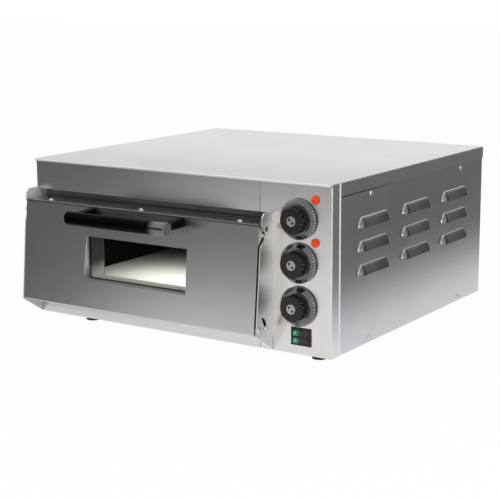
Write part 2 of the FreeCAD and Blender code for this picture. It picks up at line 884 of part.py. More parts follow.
def make_chamber_insulation():
    """Mineral wool round the top, bottom, sides and rear of the chamber."""
    wool = Piece("chamber_insulation")
    left = -panel_face + size.screw_length + size.insulation_side_play
    outline = rectangle(left, partition_left, size.gauge, chamber_roof + size.insulation_cover)
    rear = chamber_back + size.insulation_rear
    wool.pad("xz", frame_back, rear, outline)
    wall = size.liner_gauge
    hollow = rectangle(
        chamber_left - wall, chamber_right + wall, size.chamber_floor - wall, chamber_roof + wall
    )
    wool.cut("xz", frame_back - size.overrun, chamber_back + wall, hollow)
    holes = [Circle(y, z, bush_outer + size.bush_play) for y, z in element_ends()]
    holes += [Circle(lamp_place, lamp_height, lamp_hole)]
    holes += [Circle(sensor_place, z, sensor_hole) for z in sensor_heights]
    wool.cut("yz", chamber_right - size.overrun, partition_left + size.overrun, *holes)


def make_stone():
    stone = Piece("baking_stone")
    top = stone_top
    stone.pad("xy", size.rail_top, top, rectangle(stone_left, stone_right, stone_front, stone_back))
    stone.round(
        size.stone_edge,
        ("x", stone_front, top),
        ("x", stone_back, top),
        ("y", stone_left, top),
        ("y", stone_right, top),
    )
    rails = Piece("stone_rails")
    shelf = size.rail_top - size.rail_thick
    foot = size.rail_top - size.rail_leg
    left = [
        (chamber_left, foot),
        (chamber_left + size.rail_thick, foot),
        (chamber_left + size.rail_thick, shelf),
        (chamber_left + size.rail_leg, shelf),
        (chamber_left + size.rail_leg, size.rail_top),
        (chamber_left, size.rail_top),
    ]
    right = [(chamber_right - (x - chamber_left), z) for x, z in left]
    for outline in (left, right):
        rails.pad("xz", stone_front, stone_back, outline)
    holes = [Circle(y, size.lower_element_height, bush_outer + size.bush_wall) for y in element_runs[::3]]
    holes.append(Circle(sensor_place, size.lower_sensor_height, sensor_hole))
    rails.cut("yz", chamber_right - size.rail_thick - size.overrun, chamber_right + size.overrun, *holes)


def make_elements():
    """Two serpentine tube heaters, with combs that hold their runs and bushes through the wall."""
    heights = {"lower_element": size.lower_element_height, "upper_element": upper_element_height}
    tail = partition_left + size.element_tail
    turn_room = element_pitch / 2 + size.element_radius
    turn_left = chamber_left + size.element_left_gap + turn_room
    turn_right = chamber_right - size.element_right_gap - turn_room
    for label, height in heights.items():
        element = Piece(label)
        path = element.sketch("xy", (0, 0, height))
        section = element.sketch("yz", (tail, element_runs[0], height), Circle(0, 0, size.element_radius))
        draw_serpentine(path, element_runs, tail, turn_left, turn_right)
        doc.recompute()
        edges = [f"Edge{number}" for number in range(1, len(path.Shape.Edges) + 1)]
        element.feature("AdditivePipe", Profile=section, Spine=(path, edges))
    combs = Piece("element_combs")
    hole = size.element_radius + size.comb_play
    front = element_runs[0] - size.comb_margin
    back = element_runs[-1] + size.comb_margin
    lower = size.lower_element_height
    upper = upper_element_height
    spans = (
        (lower, size.chamber_floor, size.rail_top - size.stone_edge),
        (upper, upper - size.comb_margin, chamber_roof),
    )
    for height, low, high in spans:
        holes = [Circle(y, height, hole) for y in element_runs]
        for place in (chamber_left + size.comb_left, chamber_right - size.comb_right):
            combs.pad("yz", place, place + size.comb_gauge, rectangle(front, back, low, high), *holes)
    bushes = Piece("element_bushes")
    rings = []
    for y, z in element_ends():
        rings += [Circle(y, z, bush_outer), Circle(y, z, size.element_radius + size.bush_play)]
    outside = partition_left + size.gauge + size.bush_outside
    bushes.pad("yz", chamber_right - size.bush_inside, outside, *rings)


def draw_serpentine(sketch, runs, tail, turn_left, turn_right):
    """Straight runs along x joined by half circles, with both tails at the right."""
    radius = (runs[1] - runs[0]) / 2
    ends = [(tail, turn_left), (turn_left, turn_right), (turn_right, turn_left), (turn_left, tail)]
    lines = []
    for y, (start, end) in zip(runs, ends):
        index = sketch.addGeometry(Part.LineSegment(vector((start, y)), vector((end, y))))
        fix_point(sketch, index, 1, (start, y))
        fix_point(sketch, index, 2, (end, y))
        lines.append(index)
    normal = FreeCAD.Vector(0, 0, 1)
    for number, (low, high) in enumerate(zip(runs, runs[1:])):
        at_left = number % 2 == 0
        place = turn_left if at_left else turn_right
        circle = Part.Circle(vector((place, (low + high) / 2)), normal, radius.value)
        start = math.pi / 2 if at_left else -math.pi / 2
        arc = sketch.addGeometry(Part.ArcOfCircle(circle, start, start + math.pi))
        low_end, high_end = (2, 1) if at_left else (1, 2)
        sketch.addConstraint(Sketcher.Constraint("Coincident", arc, low_end, lines[number], 2))
        sketch.addConstraint(Sketcher.Constraint("Coincident", arc, high_end, lines[number + 1], 1))
        set_constraint(sketch, Sketcher.Constraint("DistanceX", -1, 1, arc, 3, place.value), place)


def make_chamber_lamp():
    """Lamp in the right wall: a tube through the wool, a bulb and a glass cover."""
    origin = (chamber_right, lamp_place, lamp_height)
    inner = size.lamp_tube_radius - size.lamp_tube_wall
    end = size.lamp_tube_length
    holder = Piece("chamber_lamp_holder")
    socket = end - size.lamp_tube_wall - size.bush_inside
    profile = [
        (0, inner),
        (socket, inner),
        (socket, 0),
        (end, 0),
        (end, size.lamp_tube_radius),
        (0, size.lamp_tube_radius),
    ]
    holder.turn("xy", origin, profile)
    bulb = Piece("chamber_lamp_bulb")
    shoulder = socket - size.lamp_base_radius
    profile = [
        (shoulder - size.lamp_bulb_length, 0),
        (socket, 0),
        (socket, size.lamp_base_radius),
        (shoulder, size.lamp_base_radius),
        (shoulder, size.lamp_bulb_radius),
        (shoulder - size.lamp_bulb_length, size.lamp_bulb_radius),
    ]
    bulb.turn("xy", origin, profile)
    tip = chamber_right + shoulder - size.lamp_bulb_length
    bulb.round_rims(size.lamp_bulb_round, size.lamp_bulb_radius, "x", tip)
    glass = Piece("chamber_lamp_glass")
    profile = [
        (-size.lamp_glass_dome, 0),
        (-size.lamp_glass_dome + size.lamp_glass_flange, 0),
        (-size.lamp_glass_flange, inner),
        (0, inner),
        (0, size.lamp_glass_radius),
        (-size.lamp_glass_flange, size.lamp_glass_radius),
        (-size.lamp_glass_dome, inner),
    ]
    glass.turn("xy", origin, profile)


def knob_heights():
    return {
        "upper": upper_knob_height,
        "lower": lower_knob_height,
        "timer": timer_knob_height,
    }


def make_knobs():
    """Moulded knobs on spindles: a numbered skirt, a fluted grip set in a groove and a metal insert."""
    back = -size.knob_gap
    front = back - size.knob_depth
    bore = size.spindle_radius + size.pin_fit
    bore_end = back - size.knob_bore_depth
    skirt_edge = back - size.knob_skirt_edge
    neck = back - size.knob_skirt_depth
    groove_floor = neck + size.knob_groove_depth
    seat_face = front + size.insert_depth
    pocket_radius = size.insert_radius + size.insert_play
    for name, height in knob_heights().items():
        origin = (knob_place, 0, height)
        knob = Piece(f"{name}_knob")
        profile = [
            (back, bore),
            (back, skirt_radius),
            (skirt_edge, skirt_radius),
            (neck, skirt_radius - size.knob_skirt_width),
            (groove_floor, skirt_radius - size.knob_skirt_width),
            (groove_floor, grip_radius + size.knob_grip_taper),
            (front, grip_radius),
            (front, pocket_radius),
            (seat_face, pocket_radius),
            (seat_face, 0),
            (bore_end, 0),
            (bore_end, bore),
        ]
        knob.turn("yz", origin, profile)
        knob.round_rims(size.knob_round, grip_radius, "y", front)
        reach = grip_radius + size.flute_radius - size.flute_depth
        ahead = (knob_place, front - size.overrun, height)
        flute_face = knob.sketch("xz", ahead, Circle(0, reach, size.flute_radius))
        flute = knob.feature("Pocket", Profile=flute_face, Length=neck - front + size.overrun)
        flutes = knob.feature(
            "PolarPattern",
            Originals=[flute],
            Axis=(flute_face, ["N_Axis"]),
            Angle=360,
            Occurrences=SIZES["flute_count"],
        )
        knob.body.Tip = flutes
        insert = Piece(f"{name}_knob_insert")
        face = front - size.insert_proud
        insert.pad("xz", face, seat_face, Circle(knob_place, height, size.insert_radius))
        insert.round_rims(size.insert_proud, size.insert_radius, "y", face)
        dimples = [
            Circle(knob_place + x, height - x, size.insert_dimple_radius)
            for x in (-size.insert_dimple_place, size.insert_dimple_place)
        ]
        insert.cut("xz", face - size.overrun, face + size.insert_dimple_depth, *dimples)
        spindle = Piece(f"{name}_spindle")
        shaft = Circle(knob_place, height, size.spindle_radius)
        spindle.pad("xz", bore_end + size.spindle_seat, size.spindle_inside, shaft)


def make_control_bodies():
    """Two thermostats and a timer behind the panel, each with a boss that carries its spindle."""
    thermostat = (size.thermostat_width, size.thermostat_height, size.thermostat_depth)
    shapes = {
        "upper_thermostat": (upper_knob_height, *thermostat),
        "lower_thermostat": (lower_knob_height, *thermostat),
        "timer": (timer_knob_height, size.timer_width, size.timer_height, size.timer_depth),
    }
    for label, (height, width, tall, depth) in shapes.items():
        body = Piece(label)
        start = size.gauge + size.thermostat_boss
        left = knob_place - width / 2
        right = knob_place + width / 2
        body.pad("xz", start, start + depth, rectangle(left, right, height - tall / 2, height + tall / 2))
        body.round(
            size.body_edge,
            ("y", left, height - tall / 2),
            ("y", left, height + tall / 2),
            ("y", right, height - tall / 2),
            ("y", right, height + tall / 2),
        )
        body.pad("xz", size.gauge, start, Circle(knob_place, height, size.thermostat_boss_radius))
        bore = Circle(knob_place, height, size.spindle_radius + size.pin_fit)
        body.cut("xz", size.gauge - size.overrun, size.spindle_inside + size.spindle_seat, bore)


def draw_elbow(sketch, start, corner, end, bend):
    """Two straight legs and the bend between them; each leg runs along one of the sketch's axes."""
    towards = [as_length(end[0]) - corner[0], as_length(end[1]) - corner[1]]
    back = [as_length(start[0]) - corner[0], as_length(start[1]) - corner[1]]
    sign = [math.copysign(1, (one + other).value) for one, other in zip(towards, back)]
    centre = (corner[0] + bend * sign[0], corner[1] + bend * sign[1])
    first_along = 0 if abs(back[0].value) > abs(back[1].value) else 1
    leave = (centre[0], corner[1]) if first_along == 0 else (corner[0], centre[1])
    enter = (corner[0], centre[1]) if first_along == 0 else (centre[0], corner[1])
    legs = []
    for leg_start, leg_end in ((start, leave), (enter, end)):
        leg = sketch.addGeometry(Part.LineSegment(vector(leg_start), vector(leg_end)))
        fix_point(sketch, leg, 1, leg_start)
        fix_point(sketch, leg, 2, leg_end)
        legs.append(leg)
    spokes = [vector(point) - vector(centre) for point in (leave, enter)]
    angles = [math.atan2(spoke.y, spoke.x) for spoke in spokes]
    forward = (angles[1] - angles[0]) % (2 * math.pi) < math.pi
    first, second = angles if forward else reversed(angles)
    circle = Part.Circle(vector(centre), FreeCAD.Vector(0, 0, 1), bend.value)
    arc = sketch.addGeometry(Part.ArcOfCircle(circle, first, second))
    leave_end, enter_end = (1, 2) if forward else (2, 1)
    sketch.addConstraint(Sketcher.Constraint("Coincident", arc, leave_end, legs[0], 2))
    sketch.addConstraint(Sketcher.Constraint("Coincident", arc, enter_end, legs[1], 1))
    set_constraint(sketch, Sketcher.Constraint("DistanceX", -1, 1, arc, 3, centre[0].value), centre[0])


def make_sensors():
    """Capillary from each thermostat back, down and through the wall to a bulb in the chamber."""
    start = size.gauge + size.thermostat_boss + size.thermostat_depth
    bulb_end = chamber_right - size.sensor_bulb_inset
    x = knob_place
    y = sensor_place
    for name, high, low in (
        ("upper", upper_knob_height, upper_sensor_height),
        ("lower", lower_knob_height, size.lower_sensor_height),
    ):
        sensor = Piece(f"{name}_sensor")
        middle = (high + low) / 2
        path = sensor.sketch("yz", (x, 0, 0))
        draw_elbow(path, (start, high), (y, high), (y, middle), size.sensor_bend)
        section = sensor.sketch("xz", (0, start, 0), Circle(x, high, size.sensor_radius))
        doc.recompute()
        sensor.feature("AdditivePipe", Profile=section, Spine=(path, ["Edge1", "Edge2", "Edge3"]))
        path = sensor.sketch("xz", (0, y, 0))
        draw_elbow(path, (x, middle), (x, low), (bulb_end, low), size.sensor_bend)
        section = sensor.sketch("xy", (0, 0, middle), Circle(x, y, size.sensor_radius))
        doc.recompute()
        sensor.feature("AdditivePipe", Profile=section, Spine=(path, ["Edge1", "Edge2", "Edge3"]))
        bulb = Circle(y, low, size.sensor_bulb_radius)
        sensor.pad("yz", bulb_end - size.sensor_bulb_length, bulb_end, bulb)


def make_indicators():
    for name, height in (("upper", upper_indicator_height), ("lower", lower_indicator_height)):
        lamp = Piece(f"{name}_indicator")
        lamp.pad("xz", -size.indicator_reach, 0, Circle(indicator_place, height, size.indicator_radius))
        lamp.round_rims(size.indicator_round, size.indicator_radius, "y", -size.indicator_reach)
        lamp.pad("xz", 0, size.indicator_stem, Circle(indicator_place, height, size.indicator_stem_radius))


def make_switch():
    """Double rocker switch: a framed body with two wells, and two rockers on upright axles."""
    frame = Piece("switch_frame")
    left = switch_place - size.switch_width / 2
    right = switch_place + size.switch_width / 2
    low = size.switch_height - size.switch_tall / 2
    high = size.switch_height + size.switch_tall / 2
    frame.pad("xz", -size.switch_bezel, 0, rectangle(left, right, low, high))
    bezel = -size.switch_bezel
    frame.round(
        size.switch_bezel_round,
        ("x", bezel, low),
        ("x", bezel, high),
        ("z", left, bezel),
        ("z", right, bezel),
    )
    half_body = size.switch_body_width / 2
    half_tall = size.switch_body_tall / 2
    body_outline = rectangle(
        switch_place - half_body,
        switch_place + half_body,
        size.switch_height - half_tall,
        size.switch_height + half_tall,
    )
    frame.pad("xz", 0, size.switch_body_depth, body_outline)
    tilt = size.rocker_tilt_degrees
    half_well = size.rocker_width / 2 * cosine(tilt) + size.rocker_end_reach * sine(tilt) + size.rocker_play
    well_tall = size.rocker_tall + size.rocker_play * 2
    offset = (well_tall + size.rocker_bar) / 2
    rockers = {"light_rocker": size.switch_height + offset, "heat_rocker": size.switch_height - offset}
    pivot = size.rocker_pivot_depth
    for label, middle in rockers.items():
        well = rectangle(
            switch_place - half_well,
            switch_place + half_well,
            middle - well_tall / 2,
            middle + well_tall / 2,
        )
        frame.cut("xz", -size.switch_bezel - size.overrun, size.rocker_well, well)
        reach = size.rocker_tall / 2 + size.axle_length
        hole = Circle(switch_place, pivot, size.axle_radius + size.pin_fit)
        frame.cut("xy", middle - reach - size.rocker_play, middle + reach + size.rocker_play, hole)
        rocker = Piece(label)
        outline = [
            (-size.rocker_width / 2, -size.rocker_end_reach),
            (0, -size.rocker_mid_reach),
            (size.rocker_width / 2, -size.rocker_end_reach),
            (size.rocker_width / 2, -size.rocker_mid_reach),
            (size.rocker_back_width / 2, size.rocker_back),
            (-size.rocker_back_width / 2, size.rocker_back),
            (-size.rocker_width / 2, -size.rocker_mid_reach),
        ]
        face = rocker.sketch("xy", (switch_place, pivot, middle - size.rocker_tall / 2), outline)
        face.setExpression("AttachmentOffset.Rotation.Angle", tilt.formula)
        rocker.feature("Pad", Profile=face, Length=size.rocker_tall)
        axle = Circle(switch_place, pivot, size.axle_radius)
        rocker.pad("xy", middle - reach, middle + reach, axle)


def make_cheeks():
    """Side plates that carry the door: a pivot, an arc slot for the stop pin and a notch for the catch."""
    foot_y = -size.cheek_toe
    foot_z = size.cheek_toe
    inside = size.pocket_depth
    front_top = door_face(cheek_top) + size.cheek_set_back
    notch_top = catch_height + size.notch_high
    notch_bottom = catch_height - size.notch_low
    throat = -size.catch_reach + size.notch_depth
    outline = [
        (front_top + size.cheek_corner, cheek_top),
        (foot_y, cheek_top),
        (foot_y, fascia_bottom - size.cheek_play),
        (inside, fascia_bottom - size.cheek_play),
        (inside, size.lip_height + size.cheek_play),
        (foot_y, size.lip_height + size.cheek_play),
        (foot_y, foot_z),
        (door_face(size.door_bottom) + size.cheek_set_back, size.door_bottom - size.cheek_toe),
        (door_face(notch_bottom) + size.cheek_set_back, notch_bottom),
        (throat, catch_height - size.notch_mouth),
        (throat, catch_height + size.notch_mouth),
        (door_face(notch_top) + size.cheek_set_back, notch_top),
        (front_top, cheek_top - size.cheek_corner),
    ]
    holes = [
        Circle(hinge_y, hinge_z, pin_hole),
        Circle(-size.sight_hole_reach, door_top - size.sight_hole_drop, size.sight_hole_radius),
    ]
    travel = size.door_travel_degrees
    slot_half = size.pin_radius + size.slot_play
    slot_ends = [
        Circle(stop_y, hinge_z, slot_half),
        Circle(hinge_y + size.stop_arm * cosine(travel), hinge_z + size.stop_arm * sine(travel), slot_half),
    ]
    for label, left in (("left_cheek", -panel_back), ("right_cheek", cheek_right)):
        cheek = Piece(label)
        right = left + size.cheek_gauge
        cheek.pad("yz", left, right, outline, *holes)
        arm = rectangle(
            -size.overrun,
            size.cheek_gauge + size.overrun,
            size.stop_arm - slot_half,
            size.stop_arm + slot_half,
        )
        cheek.turn("xy", (left, hinge_y, hinge_z), arm, angle=travel, kind="Groove")
        for end in slot_ends:
            cheek.cut("yz", left - size.overrun, right + size.overrun, end)


def make_hinge_pins():
    """Fixed pivots in the cheeks, with domed heads outside."""
    pins = Piece("hinge_pins")
    shank = Circle(hinge_y, hinge_z, size.pin_radius)
    head = Circle(hinge_y, hinge_z, size.pin_head_radius)
    pins.pad("yz", -panel_back, door_left + size.pin_inside, shank)
    pins.pad("yz", -panel_back - size.pin_head, -panel_back, head)
    pins.pad("yz", door_right - size.pin_inside, notch_side, shank)
    pins.pad("yz", notch_side, notch_side + size.pin_head, head)
    pins.round_rims(size.pin_dome, size.pin_head_radius, "x", -panel_back - size.pin_head)
    pins.round_rims(size.pin_dome, size.pin_head_radius, "x", notch_side + size.pin_head)


def make_door_pins():
    """Bushes that run on the pivots, stop pins that follow the slots and catch pins in the notches."""
    bushes = Piece("hinge_bushes")
    ring = [Circle(hinge_y, hinge_z, size.bush_radius), Circle(hinge_y, hinge_z, pin_hole)]
    bushes.pad("yz", door_left, door_left + size.bush_length, *ring)
    bushes.pad("yz", door_right - size.bush_length, door_right, *ring)
    stops = Piece("stop_pins")
    shank = Circle(stop_y, hinge_z, size.pin_radius)
    head = Circle(stop_y, hinge_z, size.pin_head_radius)
    left_head = -panel_back - size.head_play
    right_head = notch_side + size.head_play
    stops.pad("yz", left_head, door_left + size.pin_inside, shank)
    stops.pad("yz", left_head - size.pin_head, left_head, head)
    stops.pad("yz", door_right - size.pin_inside, right_head, shank)
    stops.pad("yz", right_head, right_head + size.pin_head, head)
    stops.round_rims(size.pin_dome, size.pin_head_radius, "x", left_head - size.pin_head)
    stops.round_rims(size.pin_dome, size.pin_head_radius, "x", right_head + size.pin_head)
    catches = Piece("catch_pins")
    shank = Circle(-size.catch_reach, catch_height, size.pin_radius)
    catches.pad("yz", -panel_back, door_left + size.pin_inside, shank)
    catches.pad("yz", door_right - size.pin_inside, notch_side, shank)


def around_window(margin):
    """The window's outline, moved out by a margin, or in where the margin is negative."""
    return rectangle(
        window_left - margin, window_right + margin, window_bottom - margin, window_top + margin
    )


def door_outline(inset, rear):
    """The door's wedge in y and z, drawn in by an even wall."""
    lean = inset * cosine_of_lean()
    top = door_top - inset
    bottom = size.door_bottom + inset
    return [(rear, bottom), (rear, top), (door_face(top) + lean, top), (door_face(bottom) + lean, bottom)]


def cosine_of_lean():
    """How much further than its wall the leaning face moves along y when the wall is drawn in."""
    slope = door_slope.value
    return Length(math.sqrt(1 + slope * slope), f"sqrt(1 + {door_slope.formula} * {door_slope.formula})")


def make_door_shell():
    """Outer skin: a wedge-shaped tray, open at the rear, with the window cut in its face."""
    skin = Piece("door_skin")
    skin.pad("yz", door_left, door_right, door_outline(as_length(0), size.door_rear))
    hollow = door_outline(size.gauge, size.door_rear + size.overrun)
    skin.cut("yz", door_left + size.gauge, door_right - size.gauge, hollow)
    window = around_window(0)
    skin.cut("xz", -size.door_reach_bottom - size.overrun, -size.gauge, window)
    holes = [Circle(hinge_y, hinge_z, size.bush_radius), Circle(stop_y, hinge_z, size.pin_radius)]
    holes += [Circle(-size.catch_reach, catch_height, size.pin_radius)]
    skin.cut("yz", door_left - size.overrun, door_right + size.overrun, *holes)
    screw_holes = [Circle(x, y, screw_hole) for x, y in door_screw_spots()]
    skin.cut("xy", door_top - size.gauge - size.overrun, door_top + size.overrun, *screw_holes)
    skin.round(
        size.door_bend,
        ("x", -size.door_reach_top, door_top),
        ("x", -size.door_reach_bottom, size.door_bottom),
    )
    liner = Piece("door_liner")
    outline = rectangle(
        door_left + size.gauge, door_right - size.gauge, size.door_bottom + size.gauge, door_top - size.gauge
    )
    margin = size.liner_window_margin
    mouth = around_window(margin)
    liner.pad("xz", size.door_rear - size.liner_gauge, size.door_rear, outline, mouth)
    flange_front = -size.door_reach_top + size.door_screw_set_back - size.screw_head_radius * 2
    flange_back = size.door_rear - size.liner_gauge
    flange = rectangle(door_left + size.gauge, door_right - size.gauge, flange_front, flange_back)
    under = door_top - size.gauge
    holes = [Circle(x, y, screw_hole) for x, y in door_screw_spots()]
    liner.pad("xy", under - size.liner_gauge, under, flange, *holes)


def door_screw_spots():
    """Three screws along the middle of the door's top."""
    y = -size.door_reach_top + size.door_screw_set_back
    return [
        (door_left + size.door_screw_inset, y),
        (door_middle, y),
        (door_right - size.door_screw_inset, y),
    ]


def make_door_screws():
    screws = Piece("door_screws")
    spots = door_screw_spots()
    top = door_top
    screws.pad("xy", top - size.screw_length, top, *[Circle(x, y, size.screw_radius) for x, y in spots])
    screws.pad("xy", top, top + size.screw_head, *[Circle(x, y, size.screw_head_radius) for x, y in spots])
    screws.round_rims(size.screw_dome, size.screw_head_radius, "z", top + size.screw_head)


def make_window():
    """A sleeve between skin and liner with a rebate for the outer pane, and a wider inner pane."""
    sleeve = Piece("window_frame")
    wall = size.frame_wall
    rear = -size.inner_glass_depth
    outer = around_window(wall)
    sleeve.pad("xz", -size.door_reach_bottom, rear, outer)
    pane_back = -size.outer_glass_depth + size.glass_thick
    window = around_window(0)
    sleeve.cut("xz", -size.door_reach_bottom - size.overrun, pane_back, window)
    rebate = size.frame_rebate
    throat = around_window(-rebate)
    sleeve.cut("xz", pane_back - size.overrun, rear + size.overrun, throat)
    lean = size.gauge * cosine_of_lean()
    ahead = -size.door_reach_bottom - size.overrun
    beyond_skin = [
        (ahead, size.door_bottom),
        (door_face(size.door_bottom) + lean, size.door_bottom),
        (door_face(door_top) + lean, door_top),
        (ahead, door_top),
    ]
    sleeve.cut("yz", door_left, door_right, beyond_skin)
    play = size.glass_play
    outer_pane = Piece("outer_glass")
    pane = around_window(-play)
    outer_pane.pad("xz", -size.outer_glass_depth, pane_back, pane)
    inner_pane = Piece("inner_glass")
    margin = size.inner_glass_margin
    pane = around_window(margin)
    inner_pane.pad("xz", rear, rear + size.glass_thick, pane)
    strips = Piece("glass_retainer")
    inside = size.liner_window_margin
    opening = around_window(inside)
    strips.pad("xz", rear + size.glass_thick, size.door_rear - size.liner_gauge, pane, opening)


def make_door_insulation():
    wool = Piece("door_insulation")
    play = size.lining_play
    outline = door_outline(size.gauge + play, size.door_rear - size.liner_gauge)
    outline = [(y, z if z.value < window_bottom.value else z - size.liner_gauge) for y, z in outline]
    wool.pad("yz", door_left + size.gauge + play, door_right - size.gauge - play, outline)
    margin = size.inner_glass_margin + play
    ahead = -size.door_reach_bottom - size.overrun
    wool.cut("xz", ahead, size.door_rear + size.overrun, around_window(margin))
    pocket = rectangle(-size.door_reach_bottom - size.overrun, 0, size.door_bottom, size.hinge_pocket_top)
    catch_low = catch_height - size.hinge_pocket_width / 2
    upper = rectangle(-size.door_reach_bottom, size.door_rear, catch_low, door_top)
    for start, end in (
        (door_left, door_left + size.hinge_pocket_width),
        (door_right - size.hinge_pocket_width, door_right),
    ):
        wool.cut("yz", start, end, pocket)
        wool.cut("yz", start, end, upper)
    spots = [Circle(x, y, size.screw_head_radius) for x, y in door_screw_spots()]
    wool.cut("xy", door_top - size.screw_length - size.overrun, door_top, *spots)


def make_gasket():
    """Glass-fibre seal on the door's rear, just short of the chamber's front frame."""
    gasket = Piece("door_gasket")
    margin = size.gasket_margin
    width = size.gasket_width
    rear = size.pocket_depth - size.gasket_play
    inner_low = size.mouth_bottom - margin / 2
    inner = rectangle(chamber_left - margin, chamber_right + margin, inner_low, mouth_top + margin)
    outer_left = chamber_left - margin - width
    outer_right = chamber_right + margin + width
    low = inner_low - width
    high = mouth_top + margin + width
    gasket.pad("xz", size.door_rear, rear, rectangle(outer_left, outer_right, low, high), inner)
    gasket.round(
        size.gasket_round,
        ("x", rear, low),
        ("x", rear, high),
        ("z", outer_left, rear),
        ("z", outer_right, rear),
    )


def make_handle():
    """Moulded handle: a round grip bar on two arms with rounded edges that rise to the door's face."""
    handle = Piece("door_handle")
    left = door_middle - size.handle_length / 2
    right = door_middle + size.handle_length / 2
    root_top = door_top - size.arm_drop
    root_bottom = root_top - size.arm_root
    grip_top = handle_height + size.handle_radius / 2
    grip_low = handle_height - size.handle_radius / 2
    arm = [
        (door_face(root_top), root_top),
        (-size.handle_reach, grip_top),
        (-size.handle_reach, grip_low),
        (door_face(root_bottom), root_bottom),
    ]
    inset = size.handle_end_round + size.arm_gap
    for start in (left + inset, right - inset - size.arm_width):
        handle.pad("yz", start, start + size.arm_width, arm)
    handle.round_between(size.arm_round, (arm[0], arm[1]), (arm[2], arm[3]))
    handle.pad("yz", left, right, Circle(-size.handle_reach, handle_height, size.handle_radius))
    handle.round_rims(size.handle_end_round, size.handle_radius, "x", left)
    handle.round_rims(size.handle_end_round, size.handle_radius, "x", right)


def make_feet():
    feet = Piece("rubber_feet")
    side = half - size.foot_inset_side
    for x in (-side, side):
        for y in (size.foot_inset_end, size.body_depth - size.foot_inset_end):
            profile = [
                (size.foot_recess_radius, -size.foot_height),
                (size.foot_radius, -size.foot_height),
                (size.foot_top_radius, 0),
                (0, 0),
                (0, -size.foot_height + size.foot_recess_depth),
                (size.foot_recess_radius, -size.foot_height + size.foot_recess_depth),
            ]
            feet.turn("xz", (x, y, 0), profile, axis="V_Axis")


def make_supply():
    """Cable gland in the rear panel and the terminal block inside; no cord is fitted."""
    gland = Piece("cable_gland")
    start = rear_back - size.gland_inside
    end = size.body_depth + size.gland_reach
    flange_end = rear_face + size.gland_flange
    origin = (gland_place, 0, size.gland_height)
    profile = [
        (start, size.gland_bore_radius),
        (end, size.gland_bore_radius),
        (end, size.gland_radius),
        (flange_end, size.gland_radius),
        (flange_end, size.gland_flange_radius),
        (rear_face, size.gland_flange_radius),
        (rear_face, size.gland_radius),
        (start, size.gland_radius),
    ]
    gland.turn("yz", origin, profile)
    block = Piece("terminal_block")
    back = rear_back - size.block_set_back
    top = size.gauge + size.block_height
    left = block_place - size.block_width / 2
    right = block_place + size.block_width / 2
    block.pad("xy", size.gauge, top, rectangle(left, right, back - size.block_depth, back))
    middle = back - size.block_depth / 2
    holes = [
        Circle(block_place + size.block_screw_pitch * step, middle, size.block_screw_radius)
        for step in (-1, 0, 1)
    ]
    block.cut("xy", top - size.block_screw_depth, top + size.overrun, *holes)


def build():
    make_base_pan()
    make_left_side_panel()
    make_right_side_panel()
    make_top_cover()
    make_rear_panel()
    make_inner_rails()
    make_casing_screws()
    make_fascia()
    make_control_panel()
    make_partition_wall()
    make_chamber_front_frame()
    make_chamber_liner()
    make_chamber_insulation()
    make_stone()
    make_elements()
    make_chamber_lamp()
    make_knobs()
    make_control_bodies()
    make_sensors()
    make_indicators()
    make_switch()
    make_cheeks()
    make_hinge_pins()
    make_door_pins()
    make_door_shell()
    make_door_screws()
    make_window()
    make_door_insulation()
    make_gasket()
    make_handle()
    make_feet()
    make_supply()


def export():
    """Check every object, then write one file for each sub-part."""
    doc.recompute()
    failed = [item.Label for item in doc.Objects if {"Invalid", "Error"} & set(item.State)]
    pieces = [item for item in doc.Objects if item.TypeId == "PartDesign::Body"]
    failed += [piece.Label for piece in pieces if piece.Shape.isNull() or not piece.Shape.isValid()]
    if failed:
        raise RuntimeError(f"these objects failed: {failed}")
    os.makedirs("parts", exist_ok=True)
    for piece in pieces:
        piece.Shape.exportStep(f"parts/{piece.Label}.step")
        print(f"{piece.Label}: {len(piece.Shape.Solids)} solids, {piece.Shape.Volume / 1000:.1f} cm3")
    print(f"{len(pieces)} sub-parts")


build()
export()
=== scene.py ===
# %% [markdown]
# # An electric pizza oven, dressed for its picture
# The oven was built first as solid parts: sheet-metal casing, drop-down door, baking chamber and controls.
# This lesson keeps those solids as a fixed frame and gives every surface its finish. Small things that a
# maker would buy in, such as screws and lenses, are built here and stand where the solids stand.

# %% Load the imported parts
import math

import bmesh
import bpy
from mathutils import Matrix, Vector


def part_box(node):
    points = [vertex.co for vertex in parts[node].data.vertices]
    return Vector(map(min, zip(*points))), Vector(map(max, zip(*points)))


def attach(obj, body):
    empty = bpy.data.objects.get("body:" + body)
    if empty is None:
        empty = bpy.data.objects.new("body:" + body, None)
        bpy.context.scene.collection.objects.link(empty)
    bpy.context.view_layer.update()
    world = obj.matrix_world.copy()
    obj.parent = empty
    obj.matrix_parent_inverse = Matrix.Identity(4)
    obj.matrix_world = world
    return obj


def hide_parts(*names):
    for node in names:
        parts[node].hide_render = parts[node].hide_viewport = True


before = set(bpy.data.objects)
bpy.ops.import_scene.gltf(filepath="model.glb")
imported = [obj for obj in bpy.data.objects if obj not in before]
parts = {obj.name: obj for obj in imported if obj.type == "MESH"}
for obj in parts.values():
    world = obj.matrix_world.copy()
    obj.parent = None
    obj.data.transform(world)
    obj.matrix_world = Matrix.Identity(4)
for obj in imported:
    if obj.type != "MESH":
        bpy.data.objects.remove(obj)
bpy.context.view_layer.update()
scene = bpy.context.scene

# %% [markdown]
# ## The camera
# A product picture is taken from a little above, with a long lens so that edges stay nearly parallel. The
# camera could be aimed by hand, but four measured numbers are surer: where it stands, its turn round the
# oven, its height angle and a very small lean of the horizon.

# %% Camera
CAMERA_PLACE = Vector((1.21438, -1.84079, 0.56357))
CAMERA_TURN = math.radians(33.56)
CAMERA_HEIGHT = math.radians(11.47)
CAMERA_LEAN = math.radians(-0.31)
SENSOR_MM = 36.0
PICTURE_PIXELS = 500
FOCAL_PIXELS = 1338.1
FAR_CLIP = 50


